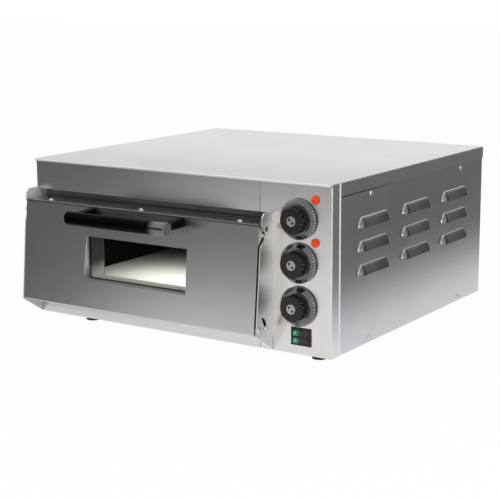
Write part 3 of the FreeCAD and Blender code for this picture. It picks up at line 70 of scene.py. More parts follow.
def camera_matrix():
    """The camera looks along its own -Z, so its Z axis points back from the oven."""
    back = Vector((
        math.sin(CAMERA_TURN) * math.cos(CAMERA_HEIGHT),
        -math.cos(CAMERA_TURN) * math.cos(CAMERA_HEIGHT),
        math.sin(CAMERA_HEIGHT),
    ))
    level = Vector((math.cos(CAMERA_TURN), math.sin(CAMERA_TURN), 0))
    upright = back.cross(level)
    right = math.cos(CAMERA_LEAN) * level + math.sin(CAMERA_LEAN) * upright
    up = math.cos(CAMERA_LEAN) * upright - math.sin(CAMERA_LEAN) * level
    turn = Matrix((right, up, back)).transposed()
    return Matrix.Translation(CAMERA_PLACE) @ turn.to_4x4()


def put_in_scene(name, data):
    """A new object, linked to the scene."""
    piece = bpy.data.objects.new(name, data)
    scene.collection.objects.link(piece)
    return piece


long_lens = bpy.data.cameras.new("camera")
long_lens.sensor_width = SENSOR_MM
long_lens.lens = SENSOR_MM * (FOCAL_PIXELS / PICTURE_PIXELS)
long_lens.clip_end = FAR_CLIP
camera = put_in_scene("camera", long_lens)
camera.matrix_world = camera_matrix()
scene.camera = camera
print("camera lens:", round(long_lens.lens, 1), "mm")

# %% [markdown]
# ## Writing nodes as sums
# A finish is a small sum: grain plus smudges, one colour turning into another. In the node editor each step
# is a box and a wire. Here a socket is wrapped in a class that knows plus, minus and times, so the sum is
# written as a line of Python and the Math nodes appear by themselves.

# %% Sockets that can be added and multiplied
class Value:
    """A node's socket. Arithmetic on it adds a Math node."""

    def __init__(self, nodes, socket):
        self.nodes = nodes
        self.socket = socket

    def math(self, operation, first, second):
        return self.nodes.node("ShaderNodeMath", {"operation": operation}, {0: first, 1: second})

    def __add__(self, other):
        return self.math("ADD", self, other)

    def __radd__(self, other):
        return self.math("ADD", other, self)

    def __sub__(self, other):
        return self.math("SUBTRACT", self, other)

    def __rsub__(self, other):
        return self.math("SUBTRACT", other, self)

    def __mul__(self, other):
        return self.math("MULTIPLY", self, other)

    def __rmul__(self, other):
        return self.math("MULTIPLY", other, self)

    def other(self, name):
        """Another output of the same node."""
        return Value(self.nodes, self.socket.node.outputs[name])


class Nodes:
    """One node tree. Every node in it comes from the method node."""

    def __init__(self, tree):
        self.tree = tree

    def node(self, kind, settings, sockets, output=0):
        made = self.tree.nodes.new(kind)
        for name, setting in settings.items():
            setattr(made, name, setting)
        for name, value in sockets.items():
            if isinstance(value, Value):
                self.tree.links.new(value.socket, made.inputs[name])
            else:
                made.inputs[name].default_value = value
        return Value(self, made.outputs[output])


print("sockets can be used in sums")

# %% [markdown]
# ## A finish
# Every finish here starts from the Principled shader and reads Object coordinates, which are metres on the
# oven itself, so grain keeps its size on any panel. A class holds the steps that all finishes share: noise,
# a soft threshold, a mix of two colours, and a bump.

# %% Steps that all finishes share
MIX_COLOUR = {"data_type": "RGBA"}
MIX_FACTOR, MIX_FIRST, MIX_SECOND, MIX_RESULT = 0, 6, 7, 2


class Finish(Nodes):
    """A material built from the Principled shader."""

    def __init__(self, name, **constants):
        self.material = bpy.data.materials.new(name)
        self.material.use_nodes = True
        super().__init__(self.material.node_tree)
        self.shader = self.tree.nodes["Principled BSDF"]
        self.set(**constants)

    def set(self, **sockets):
        """Set or link the shader's sockets, whose names are written with underscores."""
        for name, value in sockets.items():
            socket = self.shader.inputs[name.replace("_", " ")]
            if isinstance(value, Value):
                self.tree.links.new(value.socket, socket)
            else:
                socket.default_value = value

    def metres(self):
        """Places on the oven, in metres."""
        return self.node("ShaderNodeTexCoord", {}, {}, "Object")

    def place(self, stretch=(1, 1, 1)):
        """Places on the oven, stretched along each axis."""
        return self.node("ShaderNodeMapping", {}, {"Vector": self.metres(), "Scale": stretch})

    def along(self, direction):
        """How far a place on the oven lies along a direction, in metres."""
        sockets = {0: self.metres(), 1: direction}
        return self.node("ShaderNodeVectorMath", {"operation": "DOT_PRODUCT"}, sockets, "Value")

    def distance(self, centre):
        """How far a place on the oven lies from a point, in metres."""
        sockets = {0: self.metres(), 1: centre}
        return self.node("ShaderNodeVectorMath", {"operation": "DISTANCE"}, sockets, "Value")

    def noise(self, scale, detail, stretch=(1, 1, 1)):
        sockets = {"Vector": self.place(stretch), "Scale": scale, "Detail": detail}
        return self.node("ShaderNodeTexNoise", {}, sockets)

    def cells(self, scale):
        sockets = {"Vector": self.place(), "Scale": scale}
        return self.node("ShaderNodeTexVoronoi", {"feature": "F1"}, sockets)

    def fade(self, value, start, end):
        """0 before start, 1 after end, and smooth between them."""
        settings = {"interpolation_type": "SMOOTHSTEP"}
        return self.node("ShaderNodeMapRange", settings, {"Value": value, 1: start, 2: end})

    def mix(self, factor, first, second):
        sockets = {MIX_FACTOR: factor, MIX_FIRST: first, MIX_SECOND: second}
        return self.node("ShaderNodeMix", MIX_COLOUR, sockets, MIX_RESULT)

    def bump(self, height, depth):
        """Raise the surface by depth, in metres, where height is 1."""
        sockets = {"Height": height, "Distance": depth, "Strength": 1.0}
        self.set(Normal=self.node("ShaderNodeBump", {}, sockets))

    def masked(self, fades):
        """The product of fades, each (direction, start, end)."""
        share = 1.0
        for direction, start, end in fades:
            share = share * self.fade(self.along(direction), start, end)
        return share


def shade(*colour):
    return (*colour, 1.0)


def tinted(colour, share):
    """A colour made darker or lighter by a share."""
    return shade(*[channel * share for channel in colour])


ALONG_X = (1, 0, 0)
AGAINST_X = (-1, 0, 0)
ALONG_Y = (0, 1, 0)
ALONG_Z = (0, 0, 1)
AGAINST_Y = (0, -1, 0)
print("finish steps ready")

# %% [markdown]
# ## Stainless sheet
# The casing is bent from thin stainless sheet. A mirror would be too clean and a plain grey too dead: real
# sheet has a rolling grain in one direction, broad smudges that change its gloss, and a slight waviness
# from the bending. Stretched noise gives the grain, soft noise the smudges, and a very low bump the waves.
# Painted shade darkens some places: the door's top fold, the strip under the cover's side lip, the cover's
# front and side, and the pressed hoods; each mask is a product of soft fades along the axes.

# %% Sheet for the front
GRAIN_SCALE = 1400.0
GRAIN_STRETCH = 0.012
GRAIN_ROUGHNESS = 0.016
STREAK_SCALE = 60.0
STREAK_SHADE = 0.9
SMUDGE_SCALE = 7.0
WAVE_SCALE = 5.0
WAVE_DEPTH = 0.00012


def steel(name, colour, roughness, grain_axis, smudge=0.05, painted_shades=(), metal=1.0):
    """Rolled sheet whose grain runs along one axis; each painted shade is its fades and a colour."""
    finish = Finish(name, Metallic=metal)
    stretch = [GRAIN_STRETCH if axis == grain_axis else 1.0 for axis in "xyz"]
    grain = finish.noise(GRAIN_SCALE, detail=2.0, stretch=stretch)
    streaks = finish.noise(STREAK_SCALE, detail=3.0, stretch=stretch)
    smudges = finish.fade(finish.noise(SMUDGE_SCALE, detail=4.0), start=0.35, end=0.7)
    waves = finish.noise(WAVE_SCALE, detail=1.0)
    tint = finish.mix(streaks, tinted(colour, STREAK_SHADE), shade(*colour))
    # Each painted shade lays a darker colour over the sheet where its mask is 1, standing for shade.
    for fades, shade_tint in painted_shades:
        tint = finish.mix(finish.masked(fades), tint, shade(*shade_tint))
    grained = roughness + grain * GRAIN_ROUGHNESS - GRAIN_ROUGHNESS / 2
    finish.set(Base_Color=tint, Roughness=grained + smudges * smudge)
    finish.bump(waves, WAVE_DEPTH)
    return finish.material


# Painted shade on the door's top fold, where it lies under the fascia.
DOOR_FOLD_SHADE = [(ALONG_Z, 0.2119, 0.2129), (AGAINST_Y, 0.2482, 0.2496)]
front_steel = steel("front_steel", (0.69, 0.672, 0.658), 0.242, "x", smudge=0.022)
control_steel = steel("control_steel", (0.745, 0.725, 0.71), 0.23, "z", smudge=0.03)
cheek_steel = steel("cheek_steel", (0.82, 0.81, 0.795), 0.36, "z")
door_steel = steel(
    "door_steel", (0.6, 0.6, 0.602), 0.242, "x", smudge=0.022, painted_shades=[(DOOR_FOLD_SHADE, (0.16, 0.16, 0.16))]
)
# The left cheek is a half-matte copy of the cheek steel, so that its inner face shows as lit: painted light.
left_cheek_steel = steel("left_cheek_steel", (0.74, 0.735, 0.73), 0.5, "z", metal=0.3)
print("front sheet finishes: 5")

# %% Sheet for the sides and the top
# Painted shadow: a dark line on the side panel just under the cover's side lip, fading towards the rear.
UNDER_COVER_SHADOW = [(ALONG_Z, 0.2553, 0.256), (AGAINST_Y, 0.0, 0.12)]
# Painted shade: the top cover grows darker towards its front edge.
COVER_FRONT_SHADE = [(AGAINST_Y, -0.05, 0.2)]
# Painted shade: the cover's side lip is darker than its top.
COVER_SIDE_SHADE = [(ALONG_X, 0.2795, 0.2802)]
LOUVRE_RISE = (ALONG_X, 0.2801, 0.281)
LOUVRE_FRONTS = (-0.14075, 0.00025, 0.14125)
LOUVRE_LENGTH = 0.09
NEAR_END_FADE = (0.009, 0.014)
NEAR_END_SOFT = 0.004
FAR_END_FADE = (0.03, 0.08)
FAR_END_SOFT = 0.01


def louvre_stains():
    """Painted shade on the pressed hoods: a thin darkening all over, more of it on both ends of each column.
    """
    painted_shades = [([LOUVRE_RISE], (0.33, 0.334, 0.344))]
    near_start, near_stop = NEAR_END_FADE
    far_start, far_stop = FAR_END_FADE
    for front in LOUVRE_FRONTS:
        rear = front + LOUVRE_LENGTH
        near = [
            LOUVRE_RISE,
            (ALONG_Y, front - NEAR_END_SOFT, front),
            (AGAINST_Y, -front - near_stop, -front - near_start),
        ]
        far = [
            LOUVRE_RISE,
            (ALONG_Y, front + far_start, front + far_stop),
            (AGAINST_Y, -rear - FAR_END_SOFT, -rear),
        ]
        painted_shades += [(near, (0.17, 0.17, 0.175)), (far, (0.2, 0.202, 0.21))]
    return painted_shades


side_steel = steel(
    "side_steel", (0.6, 0.61, 0.632), 0.2, "y",
    painted_shades=[(UNDER_COVER_SHADOW, (0.04, 0.04, 0.04)), *louvre_stains()],
)
top_steel = steel(
    "top_steel", (0.69, 0.69, 0.69), 0.29, "x", smudge=0.045,
    painted_shades=[(COVER_FRONT_SHADE, (0.54, 0.542, 0.542)), (COVER_SIDE_SHADE, (0.52, 0.525, 0.53))],
)
bright_steel = steel("bright_steel", (0.70, 0.695, 0.69), 0.2, "x")
print("side, top and bright finishes: 3")

# %% [markdown]
# ## Steel that changes with depth
# The sleeve round the window is clean before the glass. Behind the glass its sides are darkened as painted
# shade and its sill is lightened as painted light from the chamber lamp; before the glass the sill is a
# painted shadow.
# The disc in each knob has painted shade in its two dimples. Each could be cut up into pieces with their own
# finishes, but one finish that reads the depth keeps the piece whole.

# %% The window's sleeve
GLASS_PLACE = -0.2487
GLASS_SOFT = 0.001
SLEEVE_PALE_TOP = 0.1015
SLEEVE_DARK_START = 0.125


def sleeve_finish(name):
    """Clean steel on the sides before the glass, painted shade on the sides behind it, a painted shadow on
    the sill before the glass and painted light from the chamber lamp on the sill behind it.
    """
    finish = Finish(name)
    behind = finish.fade(finish.along(ALONG_Y), GLASS_PLACE, GLASS_PLACE + GLASS_SOFT)
    risen = finish.fade(finish.along(ALONG_Z), SLEEVE_PALE_TOP, SLEEVE_DARK_START)
    specks = finish.noise(240.0, detail=3.0)
    # The pale sill colour behind the glass is painted light from the chamber lamp; the dark side colour
    # behind the glass is painted shade, and the grey sill before the glass is a painted shadow.
    painted_lit_sill = finish.mix(specks, shade(0.35, 0.36, 0.335), shade(0.46, 0.47, 0.44))
    clean = finish.mix(specks, shade(0.56, 0.56, 0.56), shade(0.64, 0.64, 0.64))
    sides = finish.mix(behind, clean, shade(0.032, 0.041, 0.038))
    sill = finish.mix(behind, shade(0.22, 0.22, 0.22), painted_lit_sill)
    bare = risen * (1 - behind)
    finish.set(
        Base_Color=finish.mix(risen, sill, sides),
        Metallic=bare * 0.45,
        Roughness=0.82 - bare * 0.4,
    )
    return finish.material


sleeve_steel = sleeve_finish("sleeve_steel")
print("sleeve darkens behind y", GLASS_PLACE)

# %% Pressed discs with dark dimples
DIMPLE_START = -0.24375
DIMPLE_FLOOR = -0.2435


def dimpled_steel(name):
    """A bright disc with painted shade in its two dimples: it darkens with depth behind the face."""
    finish = Finish(name, Metallic=1.0)
    depth = finish.fade(finish.along(ALONG_Y), DIMPLE_START, DIMPLE_FLOOR)
    rings = finish.noise(900.0, detail=2.0)
    bright = finish.mix(rings, shade(0.3, 0.31, 0.31), shade(0.42, 0.43, 0.43))
    finish.set(
        Base_Color=finish.mix(depth, bright, shade(0.03, 0.03, 0.03)),
        Roughness=0.25 + depth * 0.4,
    )
    return finish.material


insert_steel = dimpled_steel("insert_steel")
print("dimples start at y", DIMPLE_START)

# %% [markdown]
# ## Steel that has seen heat
# Chamber walls turn straw and brown where they get hottest, and the heating rods grow a dark scale. Both
# could be one flat tint, but real heat colour comes in clouds, so the tint follows broad noise.

# %% Heated metals
def heated_steel(name, pale, straw):
    finish = Finish(name, Metallic=1.0)
    clouds = finish.fade(finish.noise(9.0, detail=5.0), start=0.35, end=0.75)
    grain = finish.noise(700.0, detail=2.0, stretch=(1, 0.03, 1))
    finish.set(
        Base_Color=finish.mix(clouds, shade(*pale), shade(*straw)),
        Roughness=0.34 + clouds * 0.16 + grain * 0.08,
    )
    finish.bump(grain, depth=0.00002)
    return finish.material


def heater_scale(name):
    finish = Finish(name, Metallic=0.55)
    spots = finish.fade(finish.noise(260.0, detail=4.0), start=0.4, end=0.65)
    finish.set(
        Base_Color=finish.mix(spots, shade(0.055, 0.05, 0.047), shade(0.15, 0.115, 0.09)),
        Roughness=0.5 + spots * 0.2,
    )
    finish.bump(spots, depth=0.00008)
    return finish.material


def soft_metal(name, colour, dull):
    """Copper and brass: bright where handled, dull in patches."""
    finish = Finish(name, Metallic=1.0)
    patches = finish.fade(finish.noise(120.0, detail=3.0), start=0.35, end=0.7)
    finish.set(
        Base_Color=finish.mix(patches, shade(*colour), shade(*dull)),
        Roughness=0.26 + patches * 0.18,
    )
    return finish.material


chamber_steel = heated_steel("chamber_steel", (0.3, 0.29, 0.275), (0.2, 0.155, 0.105))
# The chamber's front frame gets a darker copy of the heated steel: painted shade for the gap above the door.
mouth_steel = heated_steel("mouth_steel", (0.2, 0.2, 0.2), (0.16, 0.15, 0.14))
# The liner is near black: heat-darkened steel, and painted shade for the dark chamber.
liner_steel = heated_steel("liner_steel", (0.014, 0.014, 0.013), (0.01, 0.009, 0.008))
heater_steel = heater_scale("heater_steel")
sensor_copper = soft_metal("sensor_copper", (0.78, 0.36, 0.2), (0.42, 0.2, 0.12))
bush_brass = soft_metal("bush_brass", (0.8, 0.6, 0.28), (0.5, 0.37, 0.17))
print("heated and soft metals: 6")

# %% [markdown]
# ## Stone, wool and ceramic
# The baking stone is a pale fired clay with darker grains. Mineral wool is a mat of fibres. The bushes round
# the heater ends are glazed ceramic. Cell noise makes grains, and stretched noise makes fibres.

# %% Stone, wool, ceramic, gasket
# Painted shade: the stone darkens towards the rear, where the chamber light falls off.
STONE_REAR_SHADE = [(ALONG_Y, 0.0, 0.17)]


def fired_clay(name):
    finish = Finish(name)
    grains = finish.fade(finish.cells(420.0), start=0.12, end=0.34)
    clouds = finish.noise(16.0, detail=4.0)
    pale = finish.mix(clouds, shade(0.5, 0.5, 0.46), shade(0.57, 0.57, 0.53))
    speckled = finish.mix(grains, shade(0.4, 0.38, 0.32), pale)
    finish.set(
        Base_Color=finish.mix(finish.masked(STONE_REAR_SHADE), speckled, shade(0.2, 0.19, 0.17)),
        Roughness=0.82 + clouds * 0.14,
    )
    finish.bump(grains + clouds * 0.4, depth=0.00015)
    return finish.material


def fibre_mat(name, colour, dark, scale, stretch, depth):
    finish = Finish(name)
    fibres = finish.fade(finish.noise(scale, detail=5.0, stretch=stretch), start=0.32, end=0.68)
    finish.set(
        Base_Color=finish.mix(fibres, shade(*dark), shade(*colour)),
        Roughness=0.85 + fibres * 0.1,
    )
    finish.bump(fibres, depth)
    return finish.material


def glazed_ceramic(name):
    finish = Finish(name)
    clouds = finish.noise(90.0, detail=3.0)
    finish.set(
        Base_Color=finish.mix(clouds, shade(0.78, 0.76, 0.7), shade(0.88, 0.87, 0.83)),
        Roughness=0.25 + clouds * 0.2,
    )
    return finish.material


stone_clay = fired_clay("baking_stone")
mineral_wool = fibre_mat(
    "mineral_wool", (0.66, 0.63, 0.52), (0.42, 0.39, 0.3), scale=190.0, stretch=(1, 0.25, 1), depth=0.0012
)
gasket_fibre = fibre_mat(
    "gasket_fibre", (0.2, 0.2, 0.19), (0.06, 0.06, 0.06), scale=520.0, stretch=(1, 1, 0.5), depth=0.0005
)
white_ceramic = glazed_ceramic("white_ceramic")
print("mineral finishes: 4")

# %% [markdown]
# ## Plastics, rubber and glass
# The handle and knobs are moulded from a hard black resin: a very dark base, a smooth skin and faint flow
# marks. A clear coat adds gloss only where a piece is polished, at one end of the handle and on the knobs'
# skirts. Rubber is softer and duller. Glass is almost colourless, with the slight green of float glass.

# %% Moulded parts and glass
HANDLE_POLISH = [(ALONG_X, 0.015, 0.03), (AGAINST_Y, 0.284, 0.291)]


def moulded_handle(name):
    """A black bar, dull along its grip and polished by hands towards its right end."""
    finish = Finish(name, Specular_IOR_Level=0.02, Coat_Roughness=0.08, Coat_IOR=2.3)
    flow = finish.noise(45.0, detail=3.0)
    finish.set(
        Base_Color=finish.mix(flow, shade(0.0012, 0.0012, 0.0012), shade(0.002, 0.002, 0.002)),
        Roughness=0.12 + flow * 0.08,
        Coat_Weight=finish.masked(HANDLE_POLISH),
    )
    return finish.material


SKIRT_FRONT = 0.2295
SKIRT_FADE_END = 0.233


def moulded_knob(name):
    """A black knob whose number skirt is polished, so that its marks can be read."""
    finish = Finish(name, Specular_IOR_Level=0.3, Coat_Roughness=0.12, Coat_IOR=1.95)
    flow = finish.noise(45.0, detail=3.0)
    grip = finish.fade(finish.along(AGAINST_Y), SKIRT_FRONT, SKIRT_FADE_END)
    finish.set(
        Base_Color=finish.mix(flow, shade(0.006, 0.007, 0.008), shade(0.01, 0.012, 0.0135)),
        Roughness=0.12 + flow * 0.12,
        Coat_Weight=1 - grip,
    )
    return finish.material


FLOW_LIGHTER = 1.7
HAZE_LIGHTER = 1.6


def moulding(name, colour, roughness, gloss):
    """A hard or soft moulded part; gloss is how strongly its skin mirrors."""
    finish = Finish(name, Specular_IOR_Level=gloss)
    flow = finish.noise(45.0, detail=3.0)
    pores = finish.noise(900.0, detail=2.0)
    finish.set(
        Base_Color=finish.mix(flow, shade(*colour), tinted(colour, FLOW_LIGHTER)),
        Roughness=roughness + flow * 0.12 - 0.06,
    )
    finish.bump(pores, depth=0.00002)
    return finish.material


def pane(name, colour, film):
    """Thin glass: a faint film of colour, with a little haze, that lets most light straight through."""
    finish = Finish(name, Roughness=0.06, Specular_IOR_Level=0.12)
    haze = finish.fade(finish.noise(14.0, detail=4.0), start=0.5, end=0.85)
    finish.set(
        Base_Color=finish.mix(haze, shade(*colour), tinted(colour, HAZE_LIGHTER)),
        Alpha=film + haze * 0.02,
    )
    return finish.material


handle_plastic = moulded_handle("handle_plastic")
knob_plastic = moulded_knob("knob_plastic")
control_plastic = moulding("control_plastic", (0.045, 0.04, 0.035), 0.4, 0.5)
switch_plastic = moulding("switch_plastic", (0.007, 0.007, 0.007), 0.3, 0.35)
foot_rubber = moulding("foot_rubber", (0.012, 0.012, 0.012), 0.62, 0.3)
window_glass = pane("window_glass", (0.008, 0.012, 0.01), 0.05)
lamp_glass = pane("lamp_glass", (0.5, 0.5, 0.47), 0.25)
print("moulded and glass finishes: 7")

# %% [markdown]
# ## Lit plastics
# The rockers are smoked green and glow round the spot where a small lamp sits behind them. The lenses are
# orange-red and glow a little. The glow could be a light, but it is only a colour in the plastic, so it goes
# into the shader's emission and fades with the distance from the lamp.

# %% Rockers and lenses
ROCKER_LAMP_INSET = 0.0036
GLOW_REACH = 0.0085
GLOW_CORE = 0.0036


def corners_of(node):
    """The low and the high corner of a part's box."""
    return [Vector(corner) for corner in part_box(node)]


def glowing_rocker(node):
    low, high = corners_of(node)
    lamp = Vector((low.x + ROCKER_LAMP_INSET, low.y, (low.z + high.z) / 2))
    finish = Finish(f"{node}_plastic", Roughness=0.25, Emission_Strength=0.5)
    lit = finish.fade(finish.distance(lamp), GLOW_REACH, 0.0)
    core = finish.fade(finish.distance(lamp), GLOW_CORE, 0.0)
    tint = finish.mix(core, shade(0.01, 0.3, 0.14), shade(0.3, 0.95, 0.62))
    finish.set(
        Base_Color=finish.mix(lit, shade(0.008, 0.012, 0.01), shade(0.03, 0.14, 0.08)),
        Emission_Color=finish.mix(lit, shade(0, 0, 0), tint),
    )
    return finish.material


LENS_BASE = 0.2215
LENS_TIP = 0.2268


def jewel_plastic(name):
    finish = Finish(name, Roughness=0.12, Specular_IOR_Level=0.3, Emission_Strength=0.25)
    clouds = finish.noise(350.0, detail=2.0)
    tip = finish.fade(finish.along(AGAINST_Y), LENS_BASE, LENS_TIP)
    finish.set(
        Base_Color=finish.mix(clouds, shade(0.62, 0.022, 0.004), shade(0.72, 0.045, 0.006)),
        Emission_Color=finish.mix(tip, shade(0.42, 0.02, 0.004), shade(0.95, 0.09, 0.008)),
    )
    return finish.material


light_glow = glowing_rocker("light_rocker")
heat_glow = glowing_rocker("heat_rocker")
red_lens = jewel_plastic("red_lens")
print("lit plastics: 3")

# %% [markdown]
# ## Dressing the parts
# Each solid keeps its own shape and only changes its finish. A table from finish to parts is easier to read
# and to change than sixty separate lines.

# %% Give every part its finish
DRESS = {
    front_steel: ["fascia", "base_pan"],
    door_steel: ["door_skin"],
    cheek_steel: ["right_cheek"],
    left_cheek_steel: ["left_cheek"],
    sleeve_steel: ["window_frame", "glass_retainer"],
    control_steel: ["control_panel"],
    side_steel: ["left_side_panel", "right_side_panel", "rear_panel"],
    top_steel: ["top_cover"],
    bright_steel: [
        "inner_rails", "casing_screws", "partition_wall", "hinge_pins", "stop_pins", "catch_pins",
        "door_screws", "upper_spindle", "lower_spindle", "timer_spindle",
    ],
    insert_steel: ["upper_knob_insert", "lower_knob_insert", "timer_knob_insert"],
    chamber_steel: ["stone_rails", "element_combs", "door_liner"],
    mouth_steel: ["chamber_front_frame"],
    liner_steel: ["chamber_liner"],
    heater_steel: ["lower_element", "upper_element"],
    mineral_wool: ["chamber_insulation", "door_insulation"],
    stone_clay: ["baking_stone"],
    white_ceramic: ["element_bushes", "chamber_lamp_holder", "terminal_block"],
    lamp_glass: ["chamber_lamp_glass", "chamber_lamp_bulb"],
    window_glass: ["outer_glass", "inner_glass"],
    knob_plastic: ["upper_knob", "lower_knob", "timer_knob"],
    handle_plastic: ["door_handle"],
    control_plastic: ["upper_thermostat", "lower_thermostat", "timer"],
    switch_plastic: ["switch_frame", "cable_gland"],
    light_glow: ["light_rocker"],
    heat_glow: ["heat_rocker"],
    red_lens: ["upper_indicator", "lower_indicator"],
    sensor_copper: ["upper_sensor", "lower_sensor"],
    bush_brass: ["hinge_bushes"],
    gasket_fibre: ["door_gasket"],
    foot_rubber: ["rubber_feet"],
}
for material, names in DRESS.items():
    for name in names:
        mesh = parts[name].data
        mesh.materials.clear()
        mesh.materials.append(material)
dressed = {name for names in DRESS.values() for name in names}
print("dressed:", len(dressed), "left bare:", sorted(set(parts) - dressed))

# %% [markdown]
# ## Growing pieces with Geometry Nodes
# Screws, dial marks and the bead of sealant repeat or follow a path. They could be copied by hand, but a
# node tree keeps the rule: change one number and every copy follows. The tree runs once, its result is
# kept as a plain mesh and the modifier is removed, so that nothing is left live.

# %% Run a tree and keep its mesh
SOCKET_KINDS = {
    float: "NodeSocketFloat",
    int: "NodeSocketInt",
    bpy.types.Object: "NodeSocketObject",
    bpy.types.Material: "NodeSocketMaterial",
}


def evaluated_mesh(piece):
    """A plain mesh of what an object and its modifiers make."""
    evaluated = piece.evaluated_get(bpy.context.evaluated_depsgraph_get())
    return bpy.data.meshes.new_from_object(evaluated)


class Growth(Nodes):
    """A Geometry Nodes tree with named inputs."""

    def __init__(self, name, **values):
        super().__init__(bpy.data.node_groups.new(name, "GeometryNodeTree"))
        self.tree.interface.new_socket("Geometry", in_out="INPUT", socket_type="NodeSocketGeometry")
        self.tree.interface.new_socket("Geometry", in_out="OUTPUT", socket_type="NodeSocketGeometry")
        self.values = {}
        for label, value in values.items():
            kind = next(kind for known, kind in SOCKET_KINDS.items() if isinstance(value, known))
            socket = self.tree.interface.new_socket(label, in_out="INPUT", socket_type=kind)
            self.values[socket.identifier] = value
        self.inputs = self.node("NodeGroupInput", {}, {})

    def finish(self, instances, material):
        """Realize the copies, give them their material and end the tree."""
        real = self.node("GeometryNodeRealizeInstances", {}, {0: instances})
        dressed = self.node("GeometryNodeSetMaterial", {}, {"Geometry": real, "Material": material})
        end = self.tree.nodes.new("NodeGroupOutput")
        self.tree.links.new(dressed.socket, end.inputs[0])

    def grow(self, name, base, body):
        """Run the tree on a base mesh and let the plain result ride on a body."""
        piece = put_in_scene(name, base)
        modifier = piece.modifiers.new("growth", "NODES")
        modifier.node_group = self.tree
        for identifier, value in self.values.items():
            modifier[identifier] = value
        mesh = evaluated_mesh(piece)
        piece.modifiers.remove(modifier)
        piece.data = mesh
        mesh.name = name
        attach(piece, body)
        return piece


print("trees can be run")


# %% Points, bmeshes and turned shapes
def points_mesh(name, points):
    mesh = bpy.data.meshes.new(name)
    mesh.from_pydata(points, [], [])
    return mesh


def plain_mesh(name, shape):
    """A mesh from a bmesh, which is then freed."""
    mesh = bpy.data.meshes.new(name)
    shape.to_mesh(mesh)
    shape.free()
    return mesh


def lathe(profile, segments):
    """Turn a list of (radius, height) points round the Z axis into a closed bmesh."""
    shape = bmesh.new()
    rings = []
    for radius, height in profile:
        if radius == 0:
            rings.append([shape.verts.new((0, 0, height))])
            continue
        angles = [2 * math.pi * step / segments for step in range(segments)]
        rings.append([
            shape.verts.new((radius * math.cos(angle), radius * math.sin(angle), height)) for angle in angles
        ])
    for low, high in zip(rings, rings[1:]):
        for step in range(segments):
            following = (step + 1) % segments
            corners = [low[step % len(low)], low[following % len(low)]]
            corners += [high[following % len(high)], high[step % len(high)]]
            shape.faces.new(dict.fromkeys(corners))
    bmesh.ops.recalc_face_normals(shape, faces=shape.faces)
    return shape


print("turned shapes ready")

# %% [markdown]
# ## Screws
# The casing and the door are held by small pan-head screws with a cross recess. One head is modelled: a
# domed disc is turned on a lathe and a cross is cut out of it. This is done in millimetres, because a cut in
# a shape of a few thousandths of a metre tears its faces. The tree then sets a copy on every seat, facing out
# of its panel and turned by its own random angle, because no two screws stop at the same turn.

# %% One screw
MILLIMETRE = 0.001
HEAD_RADIUS = 4.0
HEAD_HEIGHT = 2.0
SHANK_RADIUS = 1.9
SHANK_LENGTH = 6.5
RECESS_LENGTH = 4.4
RECESS_WIDTH = 0.9
RECESS_DEPTH = 1.1
SCREW_SEGMENTS = 28
HEAD_SHARES = [(0.3, 1.0), (0.6, 0.93), (0.82, 0.75), (0.95, 0.45), (1.0, 0.12), (1.0, 0.0)]


def box_mesh(name, length, width, height, top):
    shape = bmesh.new()
    bmesh.ops.create_cube(shape, size=1.0)
    bmesh.ops.scale(shape, vec=(length, width, height), verts=shape.verts)
    bmesh.ops.translate(shape, vec=(0, 0, top - height / 2), verts=shape.verts)
    return plain_mesh(name, shape)


def cut_out(piece, cutter_mesh):
    """Cut one mesh out of another and keep the plain result."""
    cutter = put_in_scene("cutter", cutter_mesh)
    modifier = piece.modifiers.new("recess", "BOOLEAN")
    modifier.operation = "DIFFERENCE"
    modifier.solver = "EXACT"
    modifier.object = cutter
    mesh = evaluated_mesh(piece)
    piece.modifiers.remove(modifier)
    piece.data = mesh
    bpy.data.objects.remove(cutter)


def screw_shape():
    profile = [(0, HEAD_HEIGHT)]
    profile += [(HEAD_RADIUS * across, HEAD_HEIGHT * up) for across, up in HEAD_SHARES]
    profile += [(SHANK_RADIUS, 0), (SHANK_RADIUS, -SHANK_LENGTH), (0, -SHANK_LENGTH)]
    mesh = plain_mesh("screw_shape", lathe(profile, SCREW_SEGMENTS))
    mesh.shade_smooth()
    piece = put_in_scene("screw_shape", mesh)
    overshoot = HEAD_HEIGHT + RECESS_DEPTH
    for length, width in ((RECESS_LENGTH, RECESS_WIDTH), (RECESS_WIDTH, RECESS_LENGTH)):
        cut_out(piece, box_mesh("recess", length, width, 2 * RECESS_DEPTH, overshoot))
    piece.data.transform(Matrix.Scale(MILLIMETRE, 4))
    return piece


pattern_screw = screw_shape()
print("screw faces:", len(pattern_screw.data.polygons))

# %% Screws on their seats
SIDE_Y = (-0.10475, 0.20925)
SEAT_Z = (0.029, 0.2505)
SIDE_X = 0.279
REAR_X = (-0.255, 0.0, 0.255)
REAR_Y = 0.29625
DOOR_X = (-0.2325, -0.049, 0.1345)
DOOR_Y = -0.23875
DOOR_Z = 0.2155
SCREW_SEED = 7


